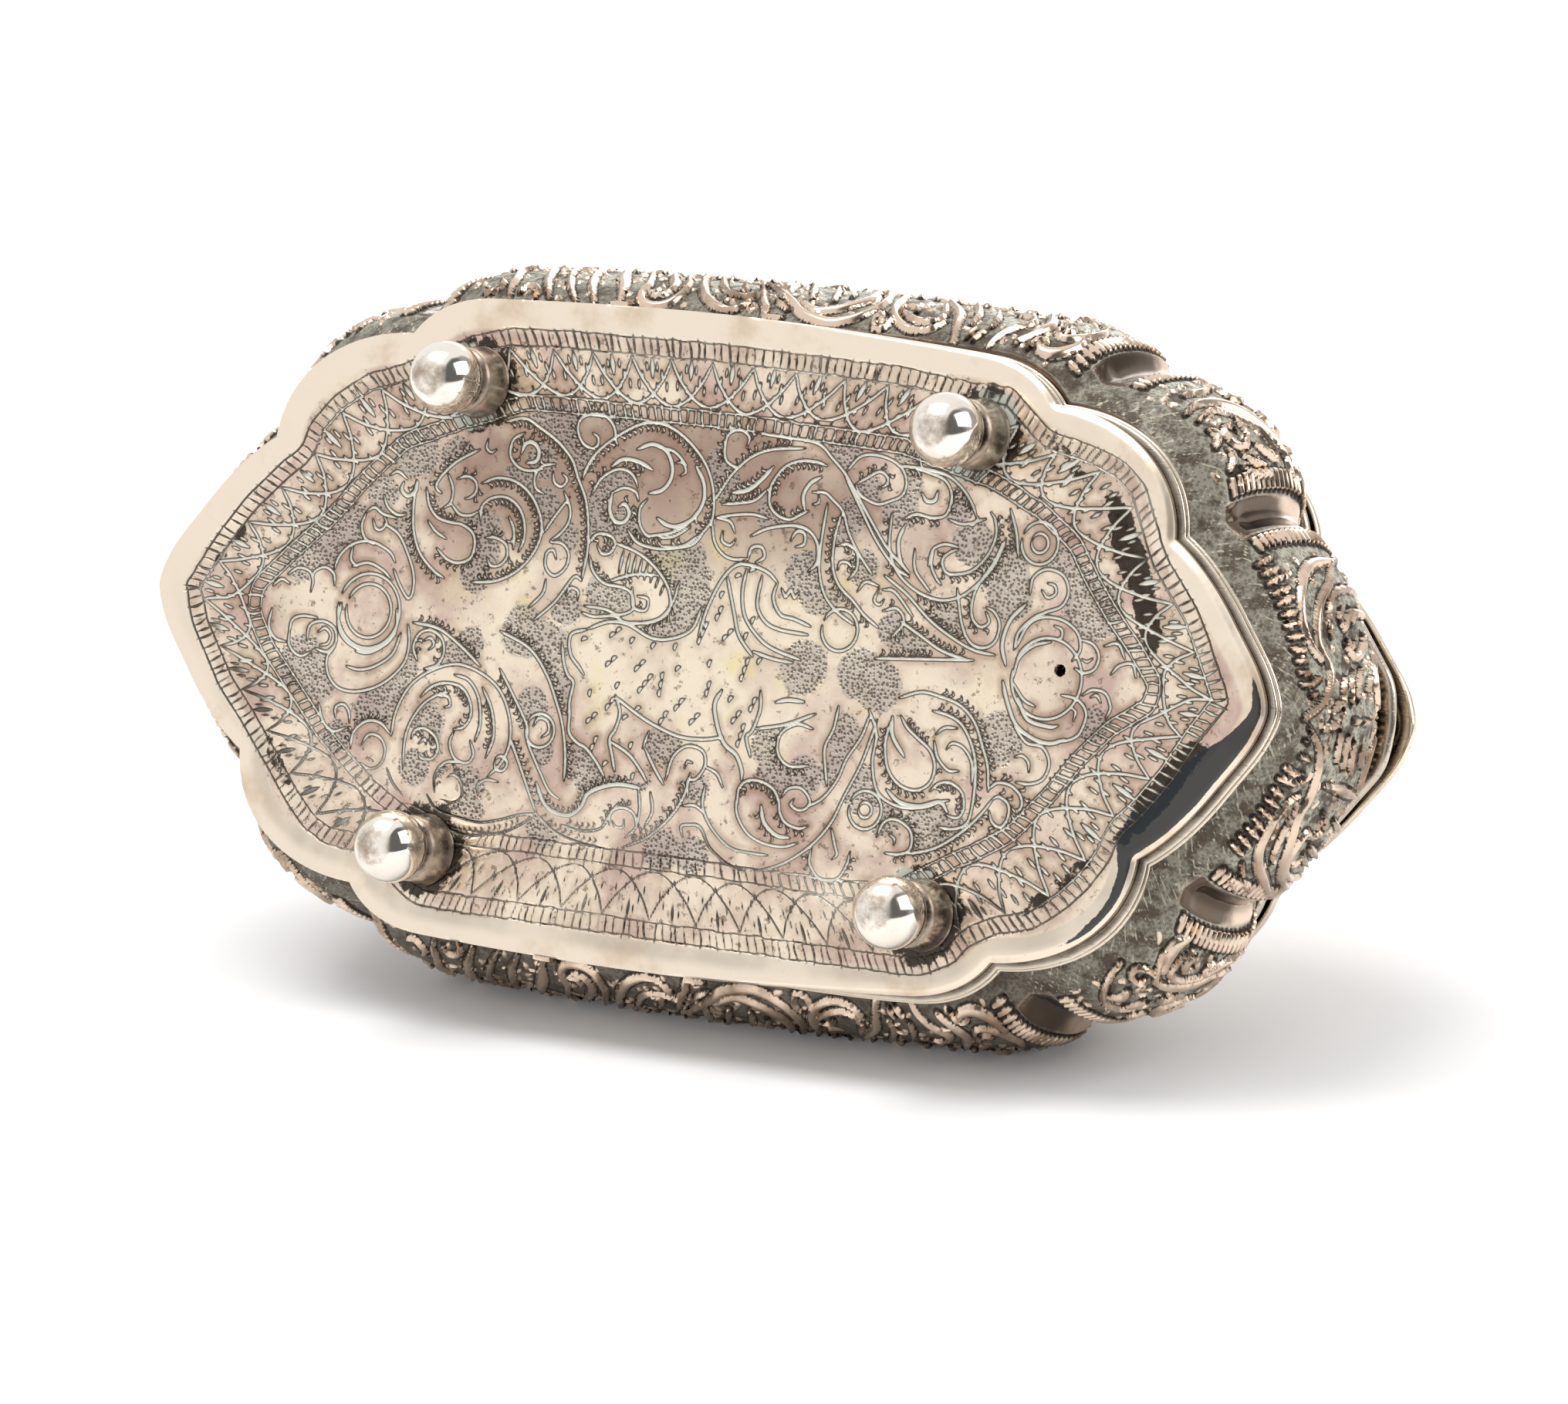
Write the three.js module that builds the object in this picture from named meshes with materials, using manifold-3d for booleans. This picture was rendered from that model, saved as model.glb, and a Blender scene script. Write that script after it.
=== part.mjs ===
// Hinged silver box: a low lobed box with bulging panels between plain flutes, standing
// on four ball feet, with a domed lid that turns on a knuckle hinge along its back.
// Millimetres, +Z up. X runs from tip to tip and Y from the front to the hinge at the
// back. The origin is the middle of the footprint, on the surface that the feet stand on.

import * as THREE from 'three'
import Module from 'manifold-3d'
import { mergeVertices } from 'three/addons/utils/BufferGeometryUtils.js'

// Plan outline of the base, one quarter of it: middle of the long side, the cusp beside
// the long side, the cusp beside the end panel, and the pointed tip
const halfLength = 70.0
const halfWidth = 35.0
const sideStraight = 31.0
const sideCrown = 0.8
const sideCuspX = 40.5
const sideCuspY = 29.7
const endCuspX = 56.8
const endCuspY = 17.0

// Bezier handles of each lobe, as shares of the lobe's own reach in X and in Y
const sideLobeShares = [[0.45, 0.06], [0.80, 0.41]]
const shoulderLobeShares = [[0.51, 0.03], [0.97, 0.38]]
const endLobeShares = [[0.38, 0.18], [0.77, 0.57]]

// Where the outline has its points along each lobe, as shares of the panel's length
const sidePointShares = [0, 0.39, 0.777, 0.85, 0.93, 1]
const shoulderPointShares = [0, 0.2, 0.4, 0.6, 0.8, 1]
const endPointShares = [0, 0.25, 0.5, 0.75, 1]
const flutePointShares = [0.25, 0.5, 0.75]

// How fast an outward move grows from the middle of the box to its tips, and fades from its
// long sides to the middle
const swellPower = 3

// Plain concave flutes that stand over the eight cusps
const fluteWidth = 4.6
const fluteDepth = 1.5

// Feet: a ball on a short collar, four times, set in from the tips and from the sides
const footTipInset = 38.6
const footSideInset = 9.9
const footHeight = 10.1
const ballRadius = 3.9
const ballFlatRadius = 0.9
const ballSeatRadius = 2.9
const collarRadius = 3.85
const collarWaistRadius = 3.5
const roundSteps = 16

// Base plate and the small vent pierced through it
const plateThickness = 1.0
const ventRadius = 0.5
const ventX = -44.5
const ventY = 1.8
const ventSteps = 10
const drillOverrun = 1.0

// Stepped moulding round the base edge
const edgeHeight = 1.4
const edgeProud = 0.35
const edgeSeatWidth = 2.4

// How much of a moulding's height rounds over at its top and bottom
const mouldingRoundShare = 0.25

// Body wall: height, sheet thickness and how far it bulges past the base outline at the
// tips and at the long sides
const wallHeight = 23.2
const wallThickness = 1.0
const wallFootInset = 0.3
const wallTipBulge = 2.2
const wallSideBulge = 4.4
const wallTopTipInset = 1.3
const wallTopSideInset = 0.9
const wallHeightShares = [0, 0.1, 0.28, 0.5, 0.7, 0.86, 1]
const wallBulgeShares = [0, 0.42, 0.8, 1, 0.98, 0.66, 0]
const wallInnerLevels = [0, 2, 4, 6]

// Rolled moulding on top of the wall
const rollHeight = 1.5
const rollTipProud = -0.7
const rollSideProud = -0.5
const rollInset = 2.6

// Flat rim wire on the roll, which carries the bezel that the lid closes over
const rimHeight = 0.5
const rimTipProud = -0.8
const rimSideProud = -0.8
const bezelHeight = 1.8
const bezelThickness = 0.8
const bezelInset = 3.9
const bezelLedge = 0.1

// Lid: flange that overhangs the body, bead round the foot of the shell, domed shell
const lidGap = 0.3
const flangeThickness = 1.0
const flangeTipProud = 1.6
const flangeSideProud = -0.4
const flangeBezelGap = 0.5
const beadHeight = 0.9
const beadTipProud = 0.2
const beadSideProud = -1.2
const beadGap = 0.3
const shellFootInset = 2.2
const shellThickness = 1.0
const shellHeight = 13.0
const shellReach = 31.0

// Lid profile: height share, inward share of the reach, flute share and roundness share
const shellProfileShares = [
  [0, 0, 0.2, 0],
  [0.1, 0.03, 0.7, 0],
  [0.2, 0.045, 1, 0],
  [0.42, 0.1, 0.9, 0],
  [0.64, 0.22, 0.6, 0.1],
  [0.8, 0.4, 0.25, 0.3],
  [0.92, 0.66, 0, 0.6],
  [0.98, 1, 0, 0.9],
]
const shellInnerLevels = [0, 2, 3, 4, 5, 6, 7]

// Hinge: knuckle tubes on one pin, seated in a bearer on the body and one on the lid
const knuckleCount = 5
const knuckleRadius = 1.2
const knuckleLength = 5.8
const knuckleGap = 0.3
const pinRadius = 0.55
const pinClearance = 0.06
const pinStandOut = 0.4
const bearerGap = 0.3
const bearerThickness = 0.6
const bearerFootGap = 0.3
const bearerArcShares = [0.36, 0.29, 0.22]
const bearerArcSteps = 4

// Places and heights of the pieces, worked out from the sizes above
const footX = halfLength - footTipInset
const footY = halfWidth - footSideInset
const plateBottom = footHeight
const plateTop = plateBottom + plateThickness
const wallBottom = plateTop + edgeHeight
const wallTop = wallBottom + wallHeight
const rollTop = wallTop + rollHeight
const rimTop = rollTop + rimHeight
const flangeBottom = rimTop + lidGap
const flangeTop = flangeBottom + flangeThickness
const hingeZ = rimTop + lidGap / 2
const hingeY = halfWidth + flangeSideProud + bearerGap + knuckleRadius

// Colours of the silver: warm plain metal, engraved and chased work
// with tarnish in its recesses, bright polished balls, and the darker hinge
function silver(color, roughness) {
  return new THREE.MeshStandardMaterial({ color, roughness, metalness: 1 })
}
const plainSilver = silver(0xd8c4b0, 0.28)
const engravedSilver = silver(0xc4ad98, 0.38)
const chasedSilver = silver(0xb0a08c, 0.42)
const polishedSilver = silver(0xe0d2c2, 0.15)
const hingeSilver = silver(0xbdaea0, 0.35)

// A lobe between two places, bent by its handle shares
function lobe(from, to, shares) {
  const reach = new THREE.Vector2().subVectors(to, from)
  const handle = ([x, y]) => new THREE.Vector2(from.x + x * reach.x, from.y + y * reach.y)
  return new THREE.CubicBezierCurve(from, handle(shares[0]), handle(shares[1]), to)
}

// The three lobes of one quarter, from the middle of the long side round to the tip
function quarterLobes() {
  const sideMiddle = new THREE.Vector2(0, halfWidth)
  const sideEnd = new THREE.Vector2(sideStraight, halfWidth - sideCrown)
  const sideCusp = new THREE.Vector2(sideCuspX, sideCuspY)
  const endCusp = new THREE.Vector2(endCuspX, endCuspY)
  const tip = new THREE.Vector2(halfLength, 0)
  const side = new THREE.CurvePath()
  const crownHandle = new THREE.Vector2(sideStraight / 2, halfWidth)
  side.add(new THREE.QuadraticBezierCurve(sideMiddle, crownHandle, sideEnd))
  side.add(lobe(sideEnd, sideCusp, sideLobeShares))
  return {
    side,
    shoulder: lobe(sideCusp, endCusp, shoulderLobeShares),
    end: lobe(endCusp, tip, endLobeShares),
  }
}

// Points along a lobe between two distances from its start
function lobePoints(curve, start, stop, shares) {
  const length = curve.getLength()
  return shares.map((share) => curve.getPointAt((start + share * (stop - start)) / length))
}

// Points across a flute: along the two lobes that meet in the cusp where hollow is 0, and
// on a concave channel where it is 1
function flutePoints(before, after, hollow) {
  const half = fluteWidth / 2
  const edgeA = before.getPointAt(1 - half / before.getLength())
  const edgeB = after.getPointAt(half / after.getLength())
  const chord = new THREE.Vector2().subVectors(edgeB, edgeA)
  const inward = new THREE.Vector2(chord.y, -chord.x).normalize()
  return flutePointShares.map((share) => {
    const along = (share - 1 / 2) * fluteWidth
    const curve = along <= 0 ? before : after
    const distance = along <= 0 ? curve.getLength() + along : along
    const onLobe = curve.getPointAt(Math.min(distance / curve.getLength(), 1))
    const depth = fluteDepth * Math.sin(Math.PI * share)
    const onChannel = edgeA.clone().addScaledVector(chord, share).addScaledVector(inward, depth)
    return onLobe.lerp(onChannel, hollow)
  })
}

// One quarter of the outline, without its last point, which the next quarter starts with
function quarterOutline(hollow) {
  const { side, shoulder, end } = quarterLobes()
  const half = fluteWidth / 2
  return [
    ...lobePoints(side, 0, side.getLength() - half, sidePointShares),
    ...flutePoints(side, shoulder, hollow),
    ...lobePoints(shoulder, half, shoulder.getLength() - half, shoulderPointShares),
    ...flutePoints(shoulder, end, hollow),
    ...lobePoints(end, half, end.getLength(), endPointShares),
  ]
}

// The whole outline, anticlockwise from the right-hand tip, moved out by tipOut at the tips
// and by sideOut at the long sides and cusps, drawn towards an ellipse by the share round,
// and then drawn in towards the middle by the length shrink
function section(z, tipOut, sideOut, { hollow = 0, round = 0, shrink = 0 } = {}) {
  const quarter = quarterOutline(hollow)
  const first = quarter.slice(1).reverse()
  const second = quarter.slice(0, -1).map((p) => new THREE.Vector2(-p.x, p.y))
  const back = [...first, ...second]
  const front = back.map((p) => new THREE.Vector2(-p.x, -p.y))
  const scaleX = 1 - shrink / halfLength
  const scaleY = 1 - shrink / halfWidth
  return [...back, ...front].map((p) => {
    const angle = Math.atan2(p.y / halfWidth, p.x / halfLength)
    const oval = new THREE.Vector2(halfLength * Math.cos(angle), halfWidth * Math.sin(angle))
    const q = p.clone().lerp(oval, round)
    const outX = Math.sign(q.x) * tipOut * Math.abs(q.x / halfLength) ** swellPower
    const fade = Math.abs(1 - Math.abs(q.y / halfWidth)) ** swellPower
    const outY = Math.sign(q.y) * sideOut * (1 - fade)
    return new THREE.Vector3((q.x + outX) * scaleX, (q.y + outY) * scaleY, z)
  })
}

// A mesh body from rows of points, each row a closed loop; joined row to row, with the last
// row joined to the first for a ring, or each end closed by a fan to the row's own middle
function skin(rows, ring) {
  const count = rows[0].length
  const points = rows.flat()
  const faces = []
  const joinRows = (a, b) => {
    for (let i = 0; i < count; i += 1) {
      const j = (i + 1) % count
      faces.push(a * count + i, a * count + j, b * count + j)
      faces.push(a * count + i, b * count + j, b * count + i)
    }
  }
  for (let row = 0; row + 1 < rows.length; row += 1) joinRows(row, row + 1)
  if (ring) joinRows(rows.length - 1, 0)
  else {
    const last = (rows.length - 1) * count
    points.push(new THREE.Vector3(0, 0, rows[0][0].z))
    points.push(new THREE.Vector3(0, 0, rows[rows.length - 1][0].z))
    for (let i = 0; i < count; i += 1) {
      const j = (i + 1) % count
      faces.push(points.length - 2, j, i)
      faces.push(points.length - 1, last + i, last + j)
    }
  }
  const geometry = new THREE.BufferGeometry().setFromPoints(points)
  geometry.setIndex(faces)
  return geometry
}

// A ring with flat top and bottom: rows up the outside, then rows down the inside
function ring(outside, inside) {
  return skin([...outside, ...inside.reverse()], true)
}

// Round solids, turned about +Z from a list of [radius, height] points
function turned(profile, steps) {
  const points = profile.map(([radius, height]) => new THREE.Vector2(radius, height))
  const geometry = new THREE.LatheGeometry(points, steps)
  geometry.rotateX(Math.PI / 2)
  return geometry
}

// Manifold solid of a closed geometry, for cuts
const wasm = await Module()
wasm.setup()
function solid(geometry) {
  const bare = geometry.clone()
  bare.deleteAttribute('normal')
  bare.deleteAttribute('uv')
  const merged = mergeVertices(bare)
  const vertProperties = Float32Array.from(merged.attributes.position.array)
  const triVerts = Uint32Array.from(merged.index.array)
  return new wasm.Manifold(new wasm.Mesh({ numProp: 3, vertProperties, triVerts }))
}
function geometryOf(body) {
  const mesh = body.getMesh()
  const geometry = new THREE.BufferGeometry()
  geometry.setAttribute('position', new THREE.BufferAttribute(mesh.vertProperties, 3))
  geometry.setIndex(new THREE.BufferAttribute(mesh.triVerts, 1))
  return geometry
}

const box = new THREE.Group()
const lid = new THREE.Group()

function addTo(group, name, geometry, material) {
  const mesh = new THREE.Mesh(geometry, material)
  mesh.name = name
  group.add(mesh)
  return mesh
}

// Base plate with its vent
function basePlate() {
  const plate = skin([section(plateBottom, 0, 0), section(plateTop, 0, 0)], false)
  const drillLength = plateThickness + 2 * drillOverrun
  const drill = new THREE.CylinderGeometry(ventRadius, ventRadius, drillLength, ventSteps)
  drill.rotateX(Math.PI / 2)
  drill.translate(ventX, ventY, plateBottom + plateThickness / 2)
  return geometryOf(solid(plate).subtract(solid(drill)))
}

// Stepped moulding: a half-round bead outside a flat seat for the wall
function baseEdgeMoulding() {
  const roundLow = plateTop + mouldingRoundShare * edgeHeight
  const roundHigh = wallBottom - mouldingRoundShare * edgeHeight
  return ring(
    [
      section(plateTop, 0, 0),
      section(roundLow, edgeProud, edgeProud),
      section(roundHigh, edgeProud, edgeProud),
      section(wallBottom, 0, 0),
    ],
    [
      section(plateTop, -edgeSeatWidth, -edgeSeatWidth),
      section(wallBottom, -edgeSeatWidth, -edgeSeatWidth),
    ],
  )
}

// Body wall: a bulging sheet shell, fluted over the cusps
function bodyWall() {
  const level = (index, inset) => {
    const rise = wallHeightShares[index]
    const bulge = wallBulgeShares[index]
    const swell = (top, most) => {
      const line = -wallFootInset + rise * (wallFootInset - top)
      return line + bulge * (most + (wallFootInset + top) / 2) - inset
    }
    const tipOut = swell(wallTopTipInset, wallTipBulge)
    const sideOut = swell(wallTopSideInset, wallSideBulge)
    return section(wallBottom + rise * wallHeight, tipOut, sideOut, { hollow: 1 })
  }
  const outside = wallHeightShares.map((share, index) => level(index, 0))
  const inside = wallInnerLevels.map((index) => level(index, wallThickness))
  return ring(outside, inside)
}

// Rolled moulding on the wall's top
function bodyRimRoll() {
  const roundLow = wallTop + mouldingRoundShare * rollHeight
  const roundHigh = rollTop - mouldingRoundShare * rollHeight
  return ring(
    [
      section(wallTop, -wallTopTipInset, -wallTopSideInset),
      section(roundLow, rollTipProud, rollSideProud),
      section(roundHigh, rollTipProud, rollSideProud),
      section(rollTop, -wallTopTipInset, -wallTopSideInset),
    ],
    [section(wallTop, -rollInset, -rollInset), section(rollTop, -rollInset, -rollInset)],
  )
}

// Flat rim wire, with a ledge inside that the bezel stands on
function bodyRimWire() {
  const inset = bezelInset + bezelThickness + bezelLedge
  return ring(
    [section(rollTop, rimTipProud, rimSideProud), section(rimTop, rimTipProud, rimSideProud)],
    [section(rollTop, -inset, -inset), section(rimTop, -inset, -inset)],
  )
}

// Bezel that stands up inside the lid
function bodyBezel() {
  const outer = -bezelInset
  const inner = -bezelInset - bezelThickness
  const top = rimTop + bezelHeight
  return ring(
    [section(rimTop, outer, outer), section(top, outer, outer)],
    [section(rimTop, inner, inner), section(top, inner, inner)],
  )
}

// Lid flange: the flat rim that overhangs the body
function lidFlange() {
  const inner = flangeBezelGap - bezelInset
  return ring(
    [
      section(flangeBottom, flangeTipProud, flangeSideProud),
      section(flangeTop, flangeTipProud, flangeSideProud),
    ],
    [section(flangeBottom, inner, inner), section(flangeTop, inner, inner)],
  )
}

// Bead round the foot of the lid shell
function lidBead() {
  const inner = beadGap - shellFootInset
  const roundLow = flangeTop + mouldingRoundShare * beadHeight
  const top = flangeTop + beadHeight
  return ring(
    [
      section(flangeTop, beadTipProud, beadSideProud),
      section(roundLow, beadTipProud, beadSideProud),
      section(top, beadTipProud / 2, beadSideProud / 2),
    ],
    [section(flangeTop, inner, inner), section(top, inner, inner)],
  )
}

// Domed lid shell: fluted at its foot and growing rounder towards its flat crown
function lidShell() {
  const level = (index, thickness) => {
    const [rise, inward, hollow, round] = shellProfileShares[index]
    const out = -shellFootInset - thickness
    const drop = thickness * rise
    const shape = { hollow, round, shrink: inward * shellReach }
    return section(flangeTop + rise * shellHeight - drop, out, out, shape)
  }
  const outside = shellProfileShares.map((shares, index) => level(index, 0))
  const inside = shellInnerLevels.map((index) => level(index, shellThickness))
  return domed(outside, inside)
}

// A shell open at the bottom and closed at the top, from rows up the outside and inside
function domed(outside, inside) {
  return skin([...inside.reverse(), ...outside], false)
}

// Foot ball: a ball with a small worn flat to stand on and a flat seat for its collar
function footBall() {
  const centre = Math.sqrt(ballRadius ** 2 - ballFlatRadius ** 2)
  const lowAngle = Math.asin(ballFlatRadius / ballRadius)
  const highAngle = Math.PI - Math.asin(ballSeatRadius / ballRadius)
  const profile = [[0, 0]]
  const steps = roundSteps / 2
  for (let i = 0; i <= steps; i += 1) {
    const angle = lowAngle + ((highAngle - lowAngle) * i) / steps
    profile.push([ballRadius * Math.sin(angle), centre - ballRadius * Math.cos(angle)])
  }
  profile.push([0, centre - ballRadius * Math.cos(highAngle)])
  return profile
}

// Collar between the ball and the base plate, flared where it is soldered on
function footCollar(seatHeight) {
  const length = plateBottom - seatHeight
  const collarHeightShares = [0, 0.12, 0.35, 0.78, 0.9, 1]
  const radii = [
    ballSeatRadius,
    (ballSeatRadius + collarWaistRadius) / 2,
    collarWaistRadius,
    collarWaistRadius,
    collarRadius,
    collarRadius,
  ]
  const rows = collarHeightShares.map((share, i) => [radii[i], seatHeight + share * length])
  return [[0, seatHeight], ...rows, [0, plateBottom]]
}

const ballProfile = footBall()
const seatHeight = ballProfile[ballProfile.length - 1][1]
const footPlaces = {
  front_left: [-footX, -footY],
  front_right: [footX, -footY],
  back_left: [-footX, footY],
  back_right: [footX, footY],
}

// Knuckle tube about the hinge axis, from one X to another
function tube(outer, inner, from, to) {
  const profile = [
    [inner, from],
    [outer, from],
    [outer, to],
    [inner, to],
    [inner, from],
  ]
  const geometry = turned(profile, roundSteps)
  geometry.rotateY(Math.PI / 2)
  geometry.translate(0, hingeY, hingeZ)
  return geometry
}

// Bearer: a strip that hugs the knuckles from above (side 1) or from below (side -1), with
// a foot that runs in to what carries it; the arc shares are shares of a whole turn
function bearer(side, footPlace, footNear, footFar, halfSpan) {
  const near = knuckleRadius + bearerGap
  const far = near + bearerThickness
  const [arcStart, arcMiddle, arcEnd] = bearerArcShares
  const at = (radius, share) => {
    const angle = side * 2 * Math.PI * share
    return new THREE.Vector2(hingeY + radius * Math.cos(angle), hingeZ + radius * Math.sin(angle))
  }
  const points = [new THREE.Vector2(footPlace, footNear)]
  for (let i = 0; i <= bearerArcSteps; i += 1) {
    points.push(at(near, arcStart + ((arcEnd - arcStart) * i) / bearerArcSteps))
  }
  points.push(at(far, arcEnd), at(far, arcMiddle), new THREE.Vector2(footPlace, footFar))
  const settings = { depth: 2 * halfSpan, bevelEnabled: false }
  const geometry = new THREE.ExtrudeGeometry(new THREE.Shape(points), settings)
  const alongY = new THREE.Vector3(0, 1, 0)
  const alongZ = new THREE.Vector3(0, 0, 1)
  const alongX = new THREE.Vector3(1, 0, 0)
  geometry.applyMatrix4(new THREE.Matrix4().makeBasis(alongY, alongZ, alongX))
  geometry.translate(-halfSpan, 0, 0)
  return geometry
}

addTo(box, 'base_plate', basePlate(), engravedSilver)
addTo(box, 'base_edge_moulding', baseEdgeMoulding(), plainSilver)
addTo(box, 'body_wall', bodyWall(), chasedSilver)
addTo(box, 'body_rim_roll', bodyRimRoll(), plainSilver)
addTo(box, 'body_rim_wire', bodyRimWire(), plainSilver)
addTo(box, 'body_bezel', bodyBezel(), plainSilver)

for (const [place, [x, y]] of Object.entries(footPlaces)) {
  const ball = addTo(box, `foot_ball_${place}`, turned(ballProfile, roundSteps), polishedSilver)
  ball.position.set(x, y, 0)
  const collar = turned(footCollar(seatHeight), roundSteps)
  addTo(box, `foot_collar_${place}`, collar, polishedSilver).position.set(x, y, 0)
}

// Hinge: odd knuckles belong to the body and even ones to the lid
const knucklePitch = knuckleLength + knuckleGap
const halfSpan = (knuckleCount * knucklePitch - knuckleGap) / 2
for (let i = 0; i < knuckleCount; i += 1) {
  const onBody = i % 2 === 0
  const from = i * knucklePitch - halfSpan
  const name = `${onBody ? 'body' : 'lid'}_hinge_knuckle_${Math.floor(i / 2) + 1}`
  const geometry = tube(knuckleRadius, pinRadius + pinClearance, from, from + knuckleLength)
  addTo(onBody ? box : lid, name, geometry, hingeSilver)
}
const pinReach = halfSpan + pinStandOut
const pinProfile = [[0, -pinReach], [pinRadius, -pinReach], [pinRadius, pinReach], [0, pinReach]]
const pin = turned(pinProfile, roundSteps)
pin.rotateY(Math.PI / 2)
pin.translate(0, hingeY, hingeZ)
addTo(box, 'hinge_pin', pin, hingeSilver)

const bodyBearerPlace = halfWidth + rollSideProud + bearerFootGap
const bodyBearerTop = rollTop - mouldingRoundShare * rollHeight
const bodyBearerFoot = bodyBearerTop - bearerThickness
const bodyBearer = bearer(-1, bodyBearerPlace, bodyBearerTop, bodyBearerFoot, halfSpan)
addTo(box, 'body_hinge_bearer', bodyBearer, hingeSilver)
const lidBearerPlace = halfWidth + beadSideProud + bearerFootGap
const lidBearerTop = flangeTop + bearerThickness
const lidBearer = bearer(1, lidBearerPlace, flangeTop, lidBearerTop, halfSpan)
addTo(lid, 'lid_hinge_bearer', lidBearer, hingeSilver)

addTo(lid, 'lid_flange', lidFlange(), plainSilver)
addTo(lid, 'lid_bead', lidBead(), plainSilver)
addTo(lid, 'lid_shell', lidShell(), chasedSilver)

const model = new THREE.Group()
model.add(box, lid)
export default model
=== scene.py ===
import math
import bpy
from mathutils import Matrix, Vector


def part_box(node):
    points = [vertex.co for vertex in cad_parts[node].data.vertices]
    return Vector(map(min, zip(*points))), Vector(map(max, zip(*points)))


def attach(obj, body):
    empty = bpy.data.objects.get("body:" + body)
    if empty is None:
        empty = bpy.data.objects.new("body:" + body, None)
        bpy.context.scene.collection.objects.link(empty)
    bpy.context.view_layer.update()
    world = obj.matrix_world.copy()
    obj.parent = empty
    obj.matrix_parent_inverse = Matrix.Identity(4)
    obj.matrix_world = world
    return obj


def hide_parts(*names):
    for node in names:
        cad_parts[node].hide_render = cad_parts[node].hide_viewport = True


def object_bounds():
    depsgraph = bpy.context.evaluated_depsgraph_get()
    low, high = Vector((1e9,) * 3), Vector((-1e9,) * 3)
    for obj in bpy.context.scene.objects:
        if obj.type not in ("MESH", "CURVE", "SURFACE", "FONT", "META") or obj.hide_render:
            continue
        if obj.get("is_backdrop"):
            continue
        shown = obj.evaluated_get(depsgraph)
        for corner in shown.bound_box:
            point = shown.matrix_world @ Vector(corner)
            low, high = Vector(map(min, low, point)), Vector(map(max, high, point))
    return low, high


bl_info = {
    "name": "Hinged Silver Box",
    "version": (1, 0, 0),
    "blender": (4, 5, 0),
    "location": "View3D > Sidebar > Silver Box",
    "description": "Builds a lobed silver box: engraved base, chased walls, ball feet, hinged lid",
    "category": "Add Mesh",
}

import bpy
import numpy as np
from bpy.props import FloatProperty, FloatVectorProperty, PointerProperty
from mathutils import Matrix, Vector

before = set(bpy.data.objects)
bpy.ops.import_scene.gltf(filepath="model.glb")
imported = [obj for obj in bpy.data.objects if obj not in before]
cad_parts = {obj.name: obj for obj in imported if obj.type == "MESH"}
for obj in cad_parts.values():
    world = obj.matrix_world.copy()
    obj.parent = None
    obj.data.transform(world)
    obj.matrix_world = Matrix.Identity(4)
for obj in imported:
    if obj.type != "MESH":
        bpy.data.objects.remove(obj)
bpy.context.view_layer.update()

# Millimetres are used for every place and size inside the functions
MM = 0.001

# Distance to a cut line that stands for no line near
FAR = 9.0

# Seeds of the small uneven marks
ENGRAVING_SEED, WALL_SEED, LID_SEED = 11, 23, 31


def tone(web):
    """Linear colour of a web colour such as cdb8a0."""
    parts = [int(web[i : i + 2], 16) / 255 for i in (0, 2, 4)]
    return [p / 12.92 if p <= 0.04045 else ((p + 0.055) / 1.055) ** 2.4 for p in parts]


def length(name, description, default):
    """A length that a user may change, kept in metres."""
    return FloatProperty(
        name=name, description=description, default=default * MM, unit="LENGTH", precision=5
    )


def colour(name, description, web):
    """A colour that a user may change."""
    return FloatVectorProperty(
        name=name, description=description, default=tone(web), subtype="COLOR", min=0, max=1
    )


def cad_high(node, axis):
    """Highest place of a node of the frame along one axis, in millimetres."""
    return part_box(node)[1][axis] / MM


def cad_low(node, axis):
    """Lowest place of a node of the frame along one axis, in millimetres."""
    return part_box(node)[0][axis] / MM


class SilverBoxSizes(bpy.types.PropertyGroup):
    """Sizes of the box's pieces and of its ornament."""

    half_length: length("Half length", "Middle of the base to its tip", cad_high("base_plate", 0))
    half_width: length("Half width", "Middle of the base to its side", cad_high("base_plate", 1))
    tip_round: length("Tip rounding", "How far the pointed tips are rounded off", 1.5)
    flute_width: length("Flute width", "Width of the plain flutes over the cusps", 4.6)
    flute_depth: length("Flute depth", "Depth of the plain flutes", 1.5)
    tip_bulge: length("Bulge at the tips", "How far the wall swells at its tips", 2.0)
    side_bulge: length("Bulge at the sides", "How far the wall swells at its long sides", 4.4)
    flute_lean: length("Flute lean", "How far the flutes stand nearer the tips than the cusps", 2.0)
    relief: length("Relief", "Height of the chased ornament over its ground", 0.62)
    border_width: length("Border width", "Width of the plain border round the base", 3.4)
    cut_width: length("Cut width", "Width of an engraved line", 0.29)
    cut_depth: length("Cut depth", "Depth of an engraved line", 0.11)
    ball_radius: length("Ball radius", "Radius of the ball feet", 3.9)


class SilverBoxColours(bpy.types.PropertyGroup):
    """Colours of the silver, of its tarnish and of the stage."""

    plain: colour("Plain silver", "Warm worn silver of borders and mouldings", "efe1ce")
    engraved: colour("Engraved silver", "Silver of the engraved base", "f1e1cb")
    chased: colour("Chased silver", "Silver of the walls and the lid", "e0cab5")
    ball: colour("Polished silver", "Silver of the ball feet", "f3ebe0")
    hinge: colour("Hinge silver", "Drawn tube and wire of the hinge", "d8cbbd")
    tarnish: colour("Tarnish", "Brown-black tarnish in cuts and corners", "2a221b")
    residue: colour("Residue", "Pale polish left in the deepest cuts", "dad8cc")
    patina: colour("Patina", "Grey-green film on the chased ground", "b3b0a0")
    floor: colour("Floor", "Pale studio floor", "efefef")


# Paths and the plan of the box

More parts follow.
